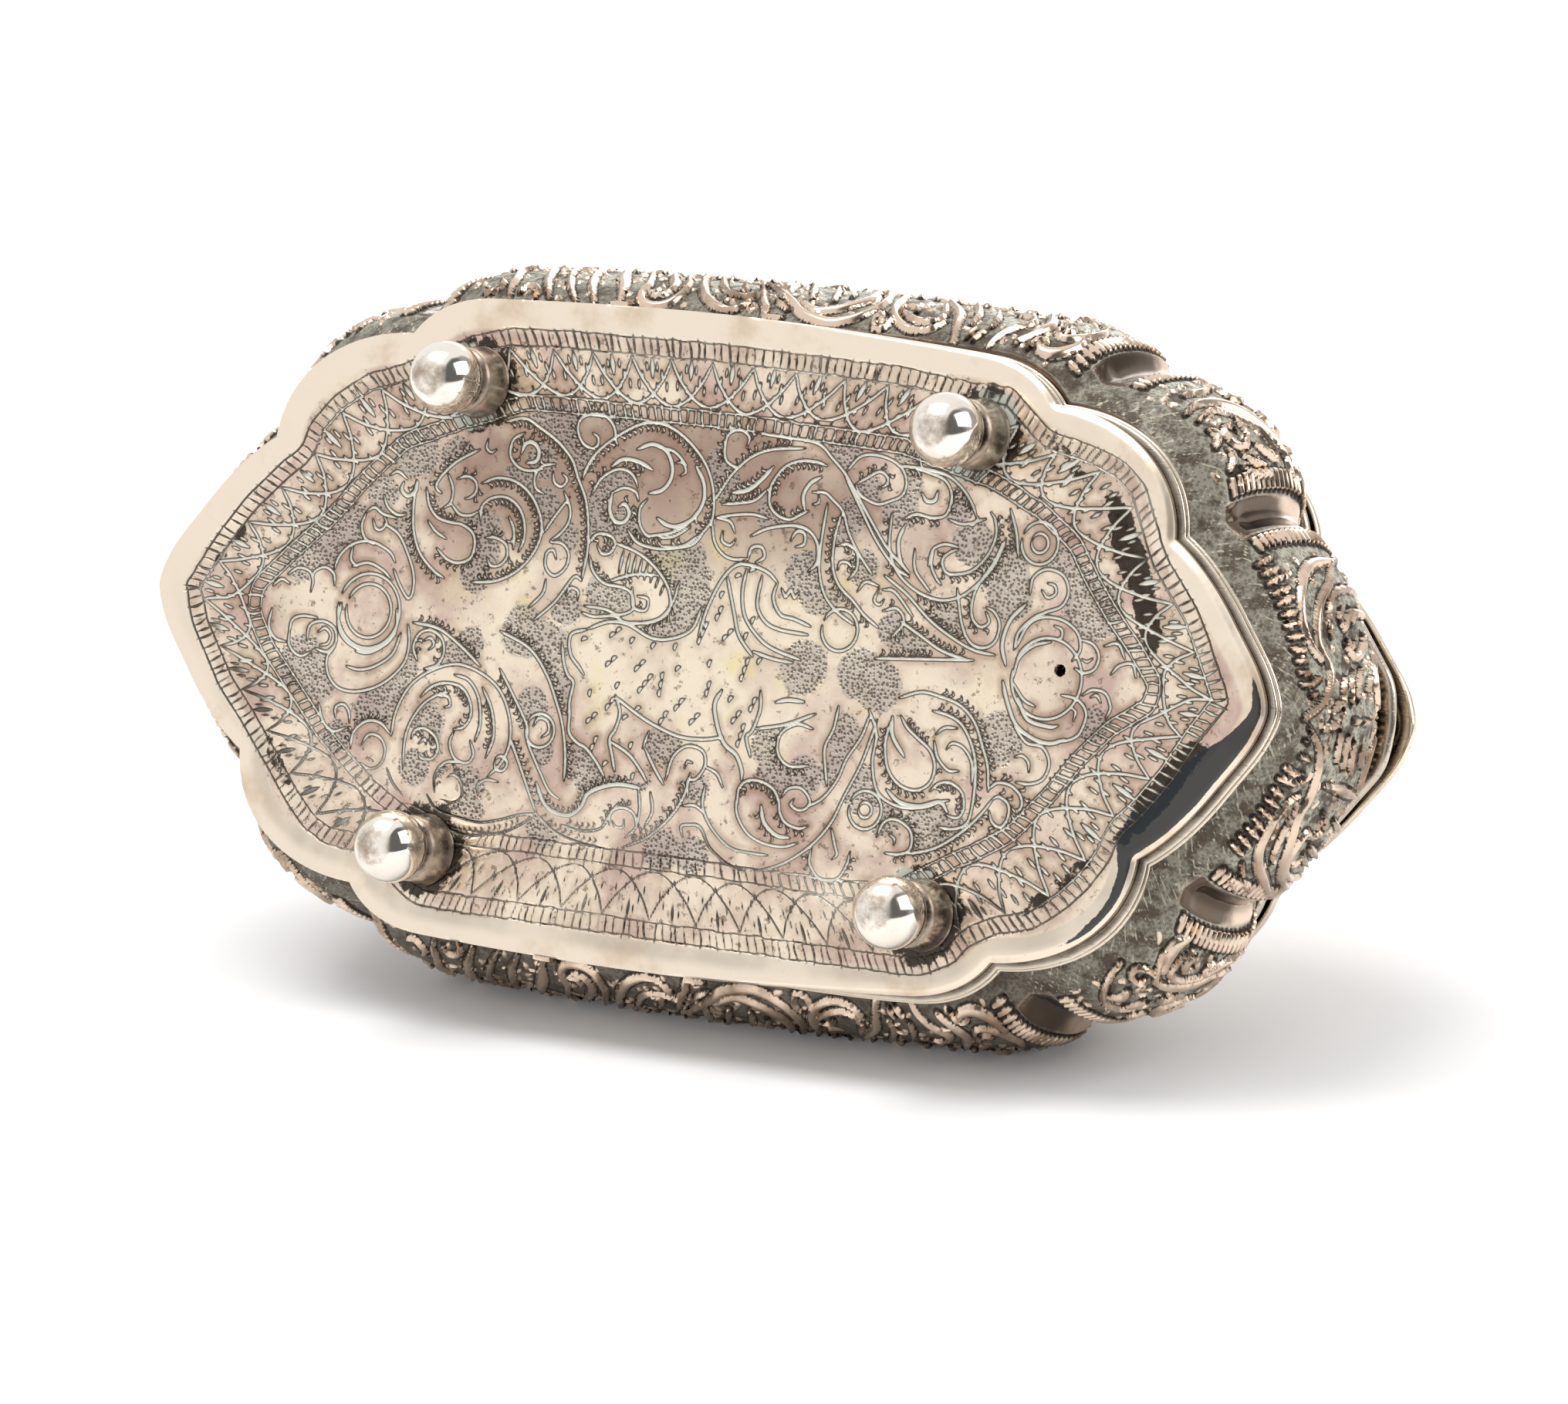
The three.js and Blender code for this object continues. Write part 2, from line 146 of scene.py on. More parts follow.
def smooth(low, high, value):
    """Smooth step from 0 at low to 1 at high."""
    t = np.clip((np.asarray(value, float) - low) / (high - low), 0, 1)
    return t * t * (3 - 2 * t)


def unit(vector):
    """A vector, or each of a row of vectors, at length 1."""
    return vector / np.maximum(np.linalg.norm(vector, axis=-1, keepdims=True), 1e-9)


def bezier(points, share):
    """Points on a Bezier curve at shares from 0 to 1."""
    points = [np.asarray(p, float)[None, :] for p in points]
    share = np.asarray(share)[:, None]
    while len(points) > 1:
        points = [a + (b - a) * share for a, b in zip(points, points[1:])]
    return points[0]


def along(path):
    """Distance of each point of a path from its start."""
    steps = np.hypot(*np.diff(path, axis=0).T)
    return np.concatenate([[0.0], np.cumsum(steps)])


def place_on(path, distance):
    """Points at given distances along a path."""
    run = along(path)
    return np.stack([np.interp(distance, run, path[:, k]) for k in (0, 1)], 1)


def shifted(path, distance):
    """A path moved to the left of its own direction."""
    heading = unit(np.gradient(path, axis=0))
    return path + np.stack([-heading[:, 1], heading[:, 0]], 1) * distance


def curve_through(points, step=0.25):
    """A smooth path through given points."""
    p = np.asarray(points, float)
    if len(p) < 3:
        count = max(2, int(np.hypot(*(p[-1] - p[0])) / step))
        return p[0] + (p[-1] - p[0]) * np.linspace(0, 1, count)[:, None]
    ends = np.concatenate([[2 * p[0] - p[1]], p, [2 * p[-1] - p[-2]]])
    out = []
    for a, b, c, d in zip(ends, ends[1:], ends[2:], ends[3:]):
        t = np.linspace(0, 1, max(2, int(np.hypot(*(c - b)) / step)), endpoint=False)[:, None]
        bend = (b * 2 + (c - a) * t + (2 * a - 5 * b + 4 * c - d) * t**2)
        out.append((bend + (3 * b - a - 3 * c + d) * t**3) / 2)
    out.append(p[-1:])
    return np.concatenate(out)


# Plan of one quarter: where the crown of the long side ends, how far it has come in
# there, the two cusps, and the handles of its three lobes as shares of their reach
CROWN_END, CROWN_FALL = 31.0, 0.8
SIDE_CUSP, END_CUSP = (40.5, 29.7), (56.8, 17.0)
SIDE_HANDLES = ((0.45, 0.06), (0.80, 0.41))
SHOULDER_HANDLES = ((0.51, 0.03), (0.97, 0.38))
TIP_HANDLES = ((0.38, 0.18), (0.77, 0.57))

# Distances from the long axis within which a tip is rounded off or blunted
ROUND_REACH = (9, 3)
BLUNT_REACH = 6


class Outline:
    """Plan of the base: eight lobes between cusps, with two pointed tips.

    The loop runs anticlockwise from the right-hand tip. The plain version follows the
    lobes, and the hollow version has a concave channel over each cusp.
    """

    def __init__(self, sizes, step):
        long, wide = sizes.half_length / MM, sizes.half_width / MM
        self.long, self.wide = long, wide
        crown_end = (CROWN_END, wide - CROWN_FALL)
        share = np.linspace(0, 1, 1600)

        def lobe(start, stop, handles):
            reach = np.subtract(stop, start)
            bent = [np.add(start, np.multiply(h, reach)) for h in handles]
            return bezier([start, *bent, stop], share)

        crown = bezier([(0, wide), (CROWN_END / 2, wide), crown_end], share)
        turn = lobe(crown_end, SIDE_CUSP, SIDE_HANDLES)
        side = np.concatenate([crown, turn[1:]])[::-1]
        shoulder = lobe(SIDE_CUSP, END_CUSP, SHOULDER_HANDLES)[::-1]
        end = lobe(END_CUSP, (long, 0.0), TIP_HANDLES)[::-1]
        y, soft = end[:, 1], sizes.tip_round / MM
        slope = (end[0, 0] - end[20, 0]) / y[20]
        end[:, 0] += slope * (y + soft - np.hypot(y, soft)) * smooth(*ROUND_REACH, y)
        path = np.concatenate([end, shoulder[1:], side[1:]])
        self.quarter = along(path)[-1]
        self.cusps = cusps = [along(end)[-1], along(end)[-1] + along(shoulder)[-1]]

        half = sizes.flute_width / MM / 2
        stops = [0, *(cusp + reach for cusp in cusps for reach in (-half, 0, half)), self.quarter]
        parts = []
        for a, b in zip(stops, stops[1:]):
            parts.append(np.linspace(a, b, max(2, round((b - a) / step)), endpoint=False))
        places = np.concatenate([*parts, [self.quarter]])
        plain = place_on(path, places)
        hollow = plain.copy()
        for cusp in cusps:
            edge = place_on(path, [cusp - half, cusp + half])
            chord = edge[1] - edge[0]
            inward = np.array([-chord[1], chord[0]]) / np.hypot(*chord)
            near = np.abs(places - cusp) <= half + 1e-9
            t = (places[near] - cusp) / (2 * half) + 0.5
            dip = sizes.flute_depth / MM * np.sin(math.pi * t)
            hollow[near] = edge[0] + chord * t[:, None] + inward * dip[:, None]
        self.plain, self.hollow = self.loop(plain), self.loop(hollow)
        first = np.concatenate([places[:-1], 2 * self.quarter - places[::-1][:-1]])
        self.whole = 4 * self.quarter
        self.girth = np.concatenate([first, first + 2 * self.quarter])

    @staticmethod
    def loop(quarter):
        """The whole loop from its first quarter."""
        second = quarter[::-1] * np.array([-1.0, 1.0])
        back = np.concatenate([quarter[:-1], second[:-1]])
        return np.concatenate([back, -back])

    def row(self, z, tip_out, side_out, hollow=0.0, roundness=0.0, shrink=0.0, blunt=0.0):
        """The outline at a height, moved out at its tips and sides as the frame's solids are."""
        p = self.plain + (self.hollow - self.plain) * hollow
        angle = np.arctan2(p[:, 1] / self.wide, p[:, 0] / self.long)
        oval = np.stack([self.long * np.cos(angle), self.wide * np.sin(angle)], 1)
        x, y = (p + (oval - p) * roundness).T
        blunted = blunt * smooth(BLUNT_REACH, 0, np.abs(y)) * (np.abs(x) > self.long / 2)
        x = x + np.sign(x) * (tip_out * np.abs(x / self.long) ** 3 - blunted)
        y = y + np.sign(y) * side_out * (1 - np.abs(1 - np.abs(y / self.wide)) ** 3)
        x = x * (1 - shrink / self.long)
        y = y * (1 - shrink / self.wide)
        return np.stack([x, y, np.full_like(x, z)], 1)


# Canvas for ornament

# Margin round a cut line or a ridge in which its distance is kept
LINE_MARGIN, RIDGE_MARGIN = 0.8, 0.9

# Outline that the chasing tool leaves round a ridge: gap to the ridge and half width
TOOL_GAP, TOOL_HALF = 0.06, 0.08


class Canvas:
    """A grid in millimetres that ornament is drawn on, before it goes on a surface.

    cut is the distance to the edge of the nearest cut line, less than 0 inside it. rise is
    the height of raised work from 0 to 1, and ground is where the punched ground shows.
    """

    def __init__(self, low, high, step=0.1):
        self.low, self.step = np.array(low, float), step
        self.x = np.arange(low[0], high[0] + step, step)
        self.y = np.arange(low[1], high[1] + step, step)
        shape = (len(self.x), len(self.y))
        self.cut = np.full(shape, FAR)
        self.rise, self.ground = np.zeros(shape), np.zeros(shape)

    def window(self, points, margin):
        """The part of the grid round some points, with its x and y."""
        points = np.asarray(points)
        low = np.floor((points.min(0) - margin - self.low) / self.step).astype(int)
        high = np.ceil((points.max(0) + margin - self.low) / self.step).astype(int) + 1
        a, b = np.clip([low, high], 0, [len(self.x), len(self.y)])
        if a[0] >= b[0] or a[1] >= b[1]:
            return None, None, None
        part = (slice(a[0], b[0]), slice(a[1], b[1]))
        return part, self.x[part[0]][:, None], self.y[part[1]][None, :]

    def nearest(self, path, half, margin, draw):
        """Calls draw with a window, its distance to each stretch of a path, and half widths."""
        for k in range(len(path) - 1):
            a, b = path[k], path[k + 1]
            part, x, y = self.window(path[k : k + 2], margin)
            if part is None:
                continue
            d = b - a
            t = ((x - a[0]) * d[0] + (y - a[1]) * d[1]) / max(d @ d, 1e-9)
            t = np.clip(t, 0, 1)
            gap = np.hypot(x - a[0] - t * d[0], y - a[1] - t * d[1])
            draw(part, gap, half[k] + (half[k + 1] - half[k]) * t)

    def line(self, points, width, taper=0.8, fine=0.4):
        """Cuts a line, thin at both ends as a graver leaves it."""
        path = curve_through(points)
        run = along(path)
        reach = np.minimum(run, run[-1] - run)
        half = width / 2 * (fine + (1 - fine) * np.clip(reach / taper, 0, 1))

        def draw(part, gap, half_here):
            np.minimum(self.cut[part], gap - half_here, out=self.cut[part])

        self.nearest(path, half, LINE_MARGIN, draw)

    def ridge(self, points, width, height=1.0, ends=(0.3, 0.3), power=2.0, outlined=True):
        """Raises a rounded strip whose width swells between its ends."""
        path = curve_through(points, 0.4)
        share = along(path) / max(along(path)[-1], 1e-6)
        swell = np.sin(math.pi * share) ** 0.6
        half = width / 2 * np.maximum(swell, ends[0] + (ends[1] - ends[0]) * share)

        def draw(part, gap, half_here):
            rise, cut = self.rise[part], self.cut[part]
            lift = height * (1 - np.clip(gap / half_here, 0, 1) ** power)
            if outlined:
                cut[(gap < half_here) & (lift > rise)] = FAR
                rim = np.abs(gap - half_here - TOOL_GAP) - TOOL_HALF
                np.minimum(cut, rim, out=cut, where=rise < 0.3)
            np.maximum(rise, lift, out=rise)

        self.nearest(path, half, width / 2 + RIDGE_MARGIN, draw)

    def moon(self, place, angle, radius):
        """Cuts a half disc whose flat side runs along an angle."""
        part, x, y = self.window([place], radius + 0.9)
        u, v = x - place[0], y - place[1]
        shape = np.maximum(np.hypot(u, v) - radius, 0.03 - u * math.sin(angle) + v * math.cos(angle))
        np.minimum(self.cut[part], shape, out=self.cut[part])

    def flood(self, place, reach):
        """Lays ground from a place up to the lines round it, no further than a reach."""
        part, x, y = self.window([place], reach)
        gap = np.hypot(x - place[0], y - place[1])
        free = (self.cut[part] > 0.1) & (gap < reach)
        wet, grown = gap < 0, (gap < 0.4) & free
        while grown.sum() > wet.sum():
            wet = grown.copy()
            grown[1:] |= wet[:-1]
            grown[:-1] |= wet[1:]
            grown[:, 1:] |= wet[:, :-1]
            grown[:, :-1] |= wet[:, 1:]
            grown &= free
        np.maximum(self.ground[part], wet * smooth(reach, 0.55 * reach, gap), out=self.ground[part])

    def wipe(self, outline):
        """Clears lines and ground inside a closed shape, for a form that lies over them."""
        part, x, y = self.window(outline, 0.2)
        odd = np.zeros((x.shape[0], y.shape[1]), bool)
        for a, b in zip(outline, np.roll(outline, -1, axis=0)):
            if a[1] == b[1]:
                continue
            crosses = (a[1] > y) != (b[1] > y)
            odd ^= crosses & (x < a[0] + (b[0] - a[0]) * (y - a[1]) / (b[1] - a[1]))
        self.cut[part][odd] = FAR
        self.ground[part][odd] = 0
        return part, odd

    def read(self, field, x, y):
        """Values of a field at places between the grid points."""
        u = np.clip((x - self.low[0]) / self.step, 0, len(self.x) - 1.001)
        v = np.clip((y - self.low[1]) / self.step, 0, len(self.y) - 1.001)
        i, j = u.astype(int), v.astype(int)
        fu, fv = u - i, v - j
        near = field[i, j] * (1 - fv) + field[i, j + 1] * fv
        far = field[i + 1, j] * (1 - fv) + field[i + 1, j + 1] * fv
        return near * (1 - fu) + far * fu


# Meshes

def grid_faces(rows, columns, closed=True, flip=False, start=0):
    """Four-sided faces between neighbouring rows of points."""
    r, c = np.meshgrid(np.arange(rows - 1), np.arange(columns if closed else columns - 1), indexing="ij")
    a, b = r * columns + c, r * columns + (c + 1) % columns
    faces = np.stack([a, b, b + columns, a + columns], -1).reshape(-1, 4) + start
    return faces[:, ::-1] if flip else faces


def join_rows(low, high):
    """Four-sided faces between two closed rows of point numbers."""
    return np.stack([low, np.roll(low, -1), np.roll(high, -1), high], 1)


def circle(radius, height, count):
    """A level circle of points round Z."""
    angle = np.linspace(0, 2 * math.pi, count, endpoint=False)
    return np.stack([radius * np.cos(angle), radius * np.sin(angle), np.full(count, height)], 1)


def ring(rows):
    """Points and faces of a ring whose rows go round its section once."""
    count = len(rows[0])
    i = np.arange(count)
    faces = [grid_faces(len(rows), count), join_rows((len(rows) - 1) * count + i, i)]
    return np.concatenate(rows), faces


def half_round(low, high, seat, proud, fullness=0.75, steps=9):
    """Section of a rounded moulding as (height, outward at the tips, at the sides)."""
    rows = []
    for angle in np.linspace(-math.pi / 2, math.pi / 2, steps):
        swell = max(math.cos(angle), 0.0) ** fullness
        out = [s + (p - s) * swell for s, p in zip(seat, proud)]
        rows.append(((low + high) / 2 + (high - low) / 2 * math.sin(angle), *out))
    return rows


def turned(profile, segments):
    """Points and faces of a round solid from (radius, height), closed at both ends."""
    rows = [circle(r, z, segments) for r, z in profile if r > 1e-6]
    points = np.concatenate(rows + [[[0, 0, profile[0][1]], [0, 0, profile[-1][1]]]])
    i = np.arange(segments)
    j = (i + 1) % segments
    top = (len(rows) - 1) * segments
    low = np.stack([np.full(segments, len(points) - 2), j, i], 1)
    high = np.stack([np.full(segments, len(points) - 1), top + i, top + j], 1)
    return points, [grid_faces(len(rows), segments), low, high]


def surface_normals(grid):
    """Outward normals of a grid of points whose rows run round the box anticlockwise."""
    across = np.roll(grid, -1, axis=1) - np.roll(grid, 1, axis=1)
    return unit(np.cross(across, np.gradient(grid, axis=0)))


# What a field holds on points that carry no ornament, where that isn't 0
BARE = {"cut": FAR, "rise": 1.0}


def with_rest(fields, count):
    """Fields of an ornamented surface, and after them the bare points of a piece."""
    return {k: np.concatenate([v.ravel(), np.full(count, BARE.get(k, 0.0))]) for k, v in fields.items()}


def add_piece(name, points, faces, slot, body, node, fields=None, crease=42.0):
    """Makes a piece from points in millimetres, in place of a node of the frame."""
    mesh = bpy.data.meshes.new(name)
    points = np.ascontiguousarray(np.asarray(points, np.float64).reshape(-1, 3) * MM, np.float32)
    corners = np.concatenate([f.ravel() for f in faces]).astype(np.int32)
    sides = np.concatenate([np.full(len(f), f.shape[1]) for f in faces])
    starts = np.concatenate([[0], np.cumsum(sides)[:-1]]).astype(np.int32)
    mesh.vertices.add(len(points))
    mesh.vertices.foreach_set("co", points.ravel())
    mesh.loops.add(len(corners))
    mesh.loops.foreach_set("vertex_index", corners)
    mesh.polygons.add(len(starts))
    mesh.polygons.foreach_set("loop_start", starts)
    mesh.update(calc_edges=True)
    for key, values in (fields or {}).items():
        layer = mesh.attributes.new(key, "FLOAT", "POINT")
        layer.data.foreach_set("value", np.asarray(values, np.float32).ravel())
    mesh.validate()
    mesh.shade_smooth()
    mesh.set_sharp_from_angle(angle=math.radians(crease))
    piece = bpy.data.objects.new(name, mesh)
    bpy.context.scene.collection.objects.link(piece)
    mesh.materials.append(finished(slot))
    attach(piece, body)
    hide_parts(node)


def add_moulding(name, section, outline, body, node, blunt=0.0, tarnish=None):
    """A plain ring from the rows of its section as (height, outward at tips, at sides)."""
    points, faces = ring([outline.row(*place, blunt=blunt) for place in section])
    fields = None if tarnish is None else {"tarnish": tarnish}
    add_piece(name, points, faces, "plain_silver", body, node, fields)


# Shader nodes

class Wire:
    """A value of a node tree that is added, subtracted and multiplied as a number is."""

    def __init__(self, nodes, socket):
        self.nodes, self.socket = nodes, socket

    def __add__(self, other):
        return self.nodes.math("ADD", self, other)

    def __sub__(self, other):
        return self.nodes.math("SUBTRACT", self, other)

    def __rsub__(self, other):
        return self.nodes.math("SUBTRACT", other, self)

    def __mul__(self, other):
        return self.nodes.math("MULTIPLY", self, other)

    def clamped(self):
        """The same value, held between 0 and 1."""
        self.socket.node.use_clamp = True
        return self


class Nodes:
    """Adds nodes to a tree and links them in short calls."""

    def __init__(self, tree):
        self.tree = tree

    def put(self, socket, value):
        """Links a wire to a socket, or sets a number or colour on it."""
        if isinstance(value, Wire):
            self.tree.links.new(value.socket, socket)
        elif socket.type == "RGBA":
            socket.default_value = (*value[:3], 1)
        else:
            socket.default_value = value

    def add(self, kind, inputs=None, **settings):
        node = self.tree.nodes.new(kind)
        for key, value in settings.items():
            setattr(node, key, value)
        for key, value in (inputs or {}).items():
            self.put(node.inputs[key], value)
        return node

    def wire(self, output, kind, inputs=None, **settings):
        return Wire(self, self.add(kind, inputs, **settings).outputs[output])

    def math(self, operation, a, b):
        return self.wire(0, "ShaderNodeMath", {0: a, 1: b}, operation=operation)

    def step(self, value, low, high, start=0.0, stop=1.0):
        inputs = {"Value": value, "From Min": low, "From Max": high, "To Min": start, "To Max": stop}
        return self.wire("Result", "ShaderNodeMapRange", inputs, interpolation_type="SMOOTHSTEP")

    def mix(self, factor, a, b):
        return self.wire(2, "ShaderNodeMix", {0: factor, 6: a, 7: b}, data_type="RGBA")

    def field(self, name):
        return self.wire("Fac", "ShaderNodeAttribute", attribute_name=name)

    def place(self):
        return self.wire("Object", "ShaderNodeTexCoord")

    def noise(self, scale, detail=4.0, rough=0.55, vector=None):
        inputs = {"Vector": vector or self.place(), "Scale": scale, "Detail": detail, "Roughness": rough}
        return self.wire("Fac", "ShaderNodeTexNoise", inputs)

    def group(self, tree, inputs):
        """Places a node group with its own values, and gives its outputs by name."""
        node = self.add("ShaderNodeGroup", None, node_tree=tree)
        for key, value in inputs.items():
            self.put(node.inputs[key], value)
        return {socket.name: Wire(self, socket) for socket in node.outputs}


def node_group(name, inputs, outputs, build):
    """A shader node group of plain values, made once and then used by every material."""
    if name in bpy.data.node_groups:
        return bpy.data.node_groups[name]
    tree = bpy.data.node_groups.new(name, "ShaderNodeTree")
    for label, default in inputs.items():
        socket = tree.interface.new_socket(label, in_out="INPUT", socket_type="NodeSocketFloat")
        socket.default_value = default
    for label in outputs:
        tree.interface.new_socket(label, in_out="OUTPUT", socket_type="NodeSocketFloat")
    nodes = Nodes(tree)
    source, sink = nodes.add("NodeGroupInput"), nodes.add("NodeGroupOutput")
    given = {label: Wire(nodes, source.outputs[label]) for label in inputs}
    for label, value in build(nodes, given).items():
        nodes.put(sink.inputs[label], value)
    return tree


def hand_polish():
    """Clouds, fine scratches and small dents that years of polishing leave on silver."""

    def build(nodes, given):
        place = nodes.place()
        bands = []
        for turn in (0.3, 1.2, 2.3):
            inputs = {"Vector": place, "Rotation": (turn, turn / 2, turn), "Scale": (1, 22, 22)}
            drawn = nodes.wire(0, "ShaderNodeMapping", inputs)
            bands.append(nodes.step(nodes.noise(given["Scratch scale"], 2.0, 0.6, drawn), 0.62, 0.74))
        return {
            "Cloud": nodes.noise(given["Cloud scale"], 5.0, 0.6, place),
            "Scratch": nodes.math("MAXIMUM", nodes.math("MAXIMUM", bands[0], bands[1]), bands[2]),
            "Dents": nodes.noise(given["Dent scale"], 2.0, 0.5, place),
        }

    scales = {"Cloud scale": 60.0, "Scratch scale": 120.0, "Dent scale": 220.0}
    return node_group("Hand polish", scales, ("Cloud", "Scratch", "Dents"), build)


def punched_ground():
    """A ground of small punched dots, as a mask of the dots and as their height."""

    def build(nodes, given):
        scale = nodes.math("DIVIDE", 1.0, given["Spacing"])
        inputs = {"Vector": nodes.place(), "Scale": scale, "Randomness": 0.75}
        gap = nodes.wire("Distance", "ShaderNodeTexVoronoi", inputs)
        dots = nodes.step(gap, 0.52, 0.28) * given["Mask"]
        return {"Dots": dots, "Height": 1.0 - dots}

    return node_group("Punched ground", {"Spacing": 0.0006, "Mask": 1.0}, ("Dots", "Height"), build)


# Finishes: each gives its colour, roughness, height, depth of that height in metres and,
# where dirt takes the metal's place, how metallic it is

def plain_silver(nodes, look):
    """Worn plain silver with brown clouds and fine scratches."""
    wear = nodes.group(hand_polish(), {"Cloud scale": 70.0})
    brown = [c * 0.62 for c in look.plain]
    base = nodes.mix(nodes.step(wear["Cloud"], 0.50, 0.78), look.plain, brown)
    base = nodes.mix(wear["Scratch"] * 0.35, base, look.tarnish)
    uneven = nodes.step(nodes.noise(260.0), 0.3, 0.7, 0.8, 1.08)
    # The tarnish field darkens the grooves of the mouldings, and on the lid flange it holds painted
    # shade under the overhang
    base = nodes.mix((nodes.field("tarnish") * uneven).clamped(), base, tone("39302a"))
    rough = nodes.step(wear["Cloud"], 0.3, 0.75, 0.16, 0.34) + wear["Scratch"] * 0.15
    return base, rough, wear["Dents"] - wear["Scratch"] * 0.3, 0.00004


def engraved_silver(nodes, look):
    """Satin silver with cut lines, punched ground, brown tarnish, a yellow film, painted shade in the
    vent and a painted dark reflection in the border.
    """
    step, mix, noise, field = nodes.step, nodes.mix, nodes.noise, nodes.field
    wear = nodes.group(hand_polish(), {"Cloud scale": 110.0})
    cloud, cut, inner = wear["Cloud"], field("cut"), field("inner")
    ground, filled, film = field("ground"), field("filled"), field("film")
    punched = nodes.group(punched_ground(), {"Spacing": 0.00042, "Mask": step(ground, 0.15, 0.6)})

    warm = mix(step(cloud, 0.40, 0.66), look.engraved, tone("c9afa3"))
    near = step(cut, 0.95, 0.1) * step(noise(240.0), 0.40, 0.58)
    warm = mix(near * step(filled, 0.2, 0.8, 0.3, 0.65), warm, tone("997d64"))
    border = mix(step(cloud, 0.52, 0.72), look.plain, tone("d9c4ab"))
    base = mix(inner, border, warm)
    dim = step(field("dim") + noise(60.0, 3.0), 0.55, 1.1, 0.0, 0.75)
    base = mix(dim, base, tone("95796a"))
    grey = field("edge") * step(noise(95.0, 3.0), 0.35, 0.6, 0.15, 0.6)
    base = mix(grey, base, tone("b7aa9b"))
    base = mix(film * 0.45, base, tone("f9edd4"))
    yellow = film * step(noise(150.0, 3.0), 0.52, 0.7)
    base = mix(yellow * 0.55, base, tone("ecdc8c"))

    ragged = ground + (noise(420.0) - 0.5) * 1.6
    base = mix(step(ragged, 0.3, 0.6) * 0.55, base, tone("a9a39d"))
    specks = step(noise(900.0, 4.0, 0.75), 0.57, 0.66) * (inner * 0.65)
    base = mix(specks, base, tone("5c4838"))
    base = mix(punched["Dots"] * 0.72, base, tone("463d37"))
    mottle = (noise(520.0, 6.0, 0.75) - 0.5) * 2.4
    # The tarnish field holds real tarnish and, over the vent's pit, painted shade
    base = mix(step(field("tarnish") + mottle, 0.42, 0.6) * 0.93, base, tone("1f1a17"))
    # Painted reflection: the dark room that the border mirrors near its right tip, painted blue-black
    mirrored = step(field("mirror") + mottle * 0.42, 0.46, 0.56)
    base = mix(mirrored * 0.94, base, tone("33373a"))
    solder = step(field("solder") + noise(500.0, 3.0), 1.0, 1.12)
    base = mix(solder * 0.9, base, tone("bcc0b4"))

    slim = step(filled, 0.2, 0.8, 0.09, 0.0)
    outline = step(cut + slim, 0.18, 0.05) * 0.95
    base = mix(outline, base, mix(filled, look.tarnish, tone("473a30")))
    core = step(cut, 0.02, -0.04) * step(noise(70.0, 3.0) + filled, 0.75, 1.1, 0.1, 0.95)
    base = mix(core, base, look.residue)
    pale = nodes.math("MAXIMUM", core, solder)
    rough = (step(cloud, 0.3, 0.75, 0.26, 0.42) + pale * 0.25).clamped()
    rough = (rough + punched["Dots"] * 0.3).clamped()
    height = step(cut, -0.12, 0.05) + punched["Height"] * 0.6 + wear["Dents"] * 0.3
    return base, rough, height, 0.00012, 1.0 - pale * 0.6


def chased_silver(nodes, look):
    """Chased silver: bright worn ridges, grey-green film and tarnish in the low places, with painted
    shade in the low places of the front side that lies towards the floor.
    """
    step, mix, noise, field = nodes.step, nodes.mix, nodes.noise, nodes.field
    wear = nodes.group(hand_polish(), {"Cloud scale": 120.0})
    cloud, work = wear["Cloud"], field("ground")
    deep = step(field("rise"), 0.30, 0.05) * work
    punched = nodes.group(punched_ground(), {"Spacing": 0.00045, "Mask": deep})

    clouded = step(cloud, 0.44, 0.70) * step(work, 0.0, 1.0, 0.4, 1.0)
    plain = mix(clouded, look.chased, tone("937d69"))
    low = mix(step(noise(420.0, 5.0, 0.7), 0.44, 0.6), look.patina, tone("574c3e"))
    # Painted shade: the brown field darkens the low places on the front side, which lies towards the
    # floor, and darkens them along the foot of the wall
    low = mix(field("brown"), low, tone("4a3d31"))
    low = mix(punched["Dots"] * 0.5, low, tone("4b4338"))
    lumps = step(field("vein") + noise(330.0, 4.0, 0.7), 0.9, 1.3)
    low = mix(lumps, low, tone("aca893"))
    base = mix(deep, plain, low)
    base = mix(step(field("cut"), 0.14, 0.02) * 0.95, base, look.tarnish)
    mottle = (noise(160.0) - 0.5) * 1.4
    base = mix(step(field("tarnish") + mottle, 0.3, 0.75) * 0.9, base, tone("45372b"))
    rough = deep * 0.3 + step(cloud, 0.3, 0.8, 0.15, 0.28)
    height = punched["Height"] * 0.5 + wear["Dents"] * 0.4
    return base, rough, height, 0.00012, 1.0 - deep * 0.55


def polished_silver(nodes, look):
    """Bright ball feet with soft scratches and dark tarnish where they are soldered."""
    step, mix, tarnish = nodes.step, nodes.mix, nodes.field("tarnish")
    wear = nodes.group(hand_polish(), {"Cloud scale": 160.0, "Scratch scale": 240.0})
    base = mix(step(wear["Cloud"], 0.45, 0.8), look.ball, [c * 0.72 for c in look.plain])
    stain = tarnish + (nodes.noise(420.0, 5.0, 0.7) - 0.5) * 1.1
    base = mix(step(stain, 0.12, 0.5, 0.0, 0.8), base, tone("927d69"))
    base = mix(step(stain, 0.55, 0.9, 0.0, 0.95), base, look.tarnish)
    rough = step(wear["Cloud"], 0.3, 0.8, 0.06, 0.2) + step(tarnish, 0.05, 0.4, 0.0, 0.26)
    return base, rough, wear["Dents"], 0.00003


def hinge_silver(nodes, look):
    """Drawn tube and wire, satin and a little grey."""
    wear = nodes.group(hand_polish(), {"Cloud scale": 200.0, "Scratch scale": 300.0})
    dark = [c * 0.5 for c in look.hinge]
    base = nodes.mix(nodes.step(wear["Cloud"], 0.45, 0.75), look.hinge, dark)
    return base, nodes.step(wear["Cloud"], 0.3, 0.8, 0.22, 0.42), wear["Dents"], 0.00004


FINISHES = (plain_silver, engraved_silver, chased_silver, polished_silver, hinge_silver)


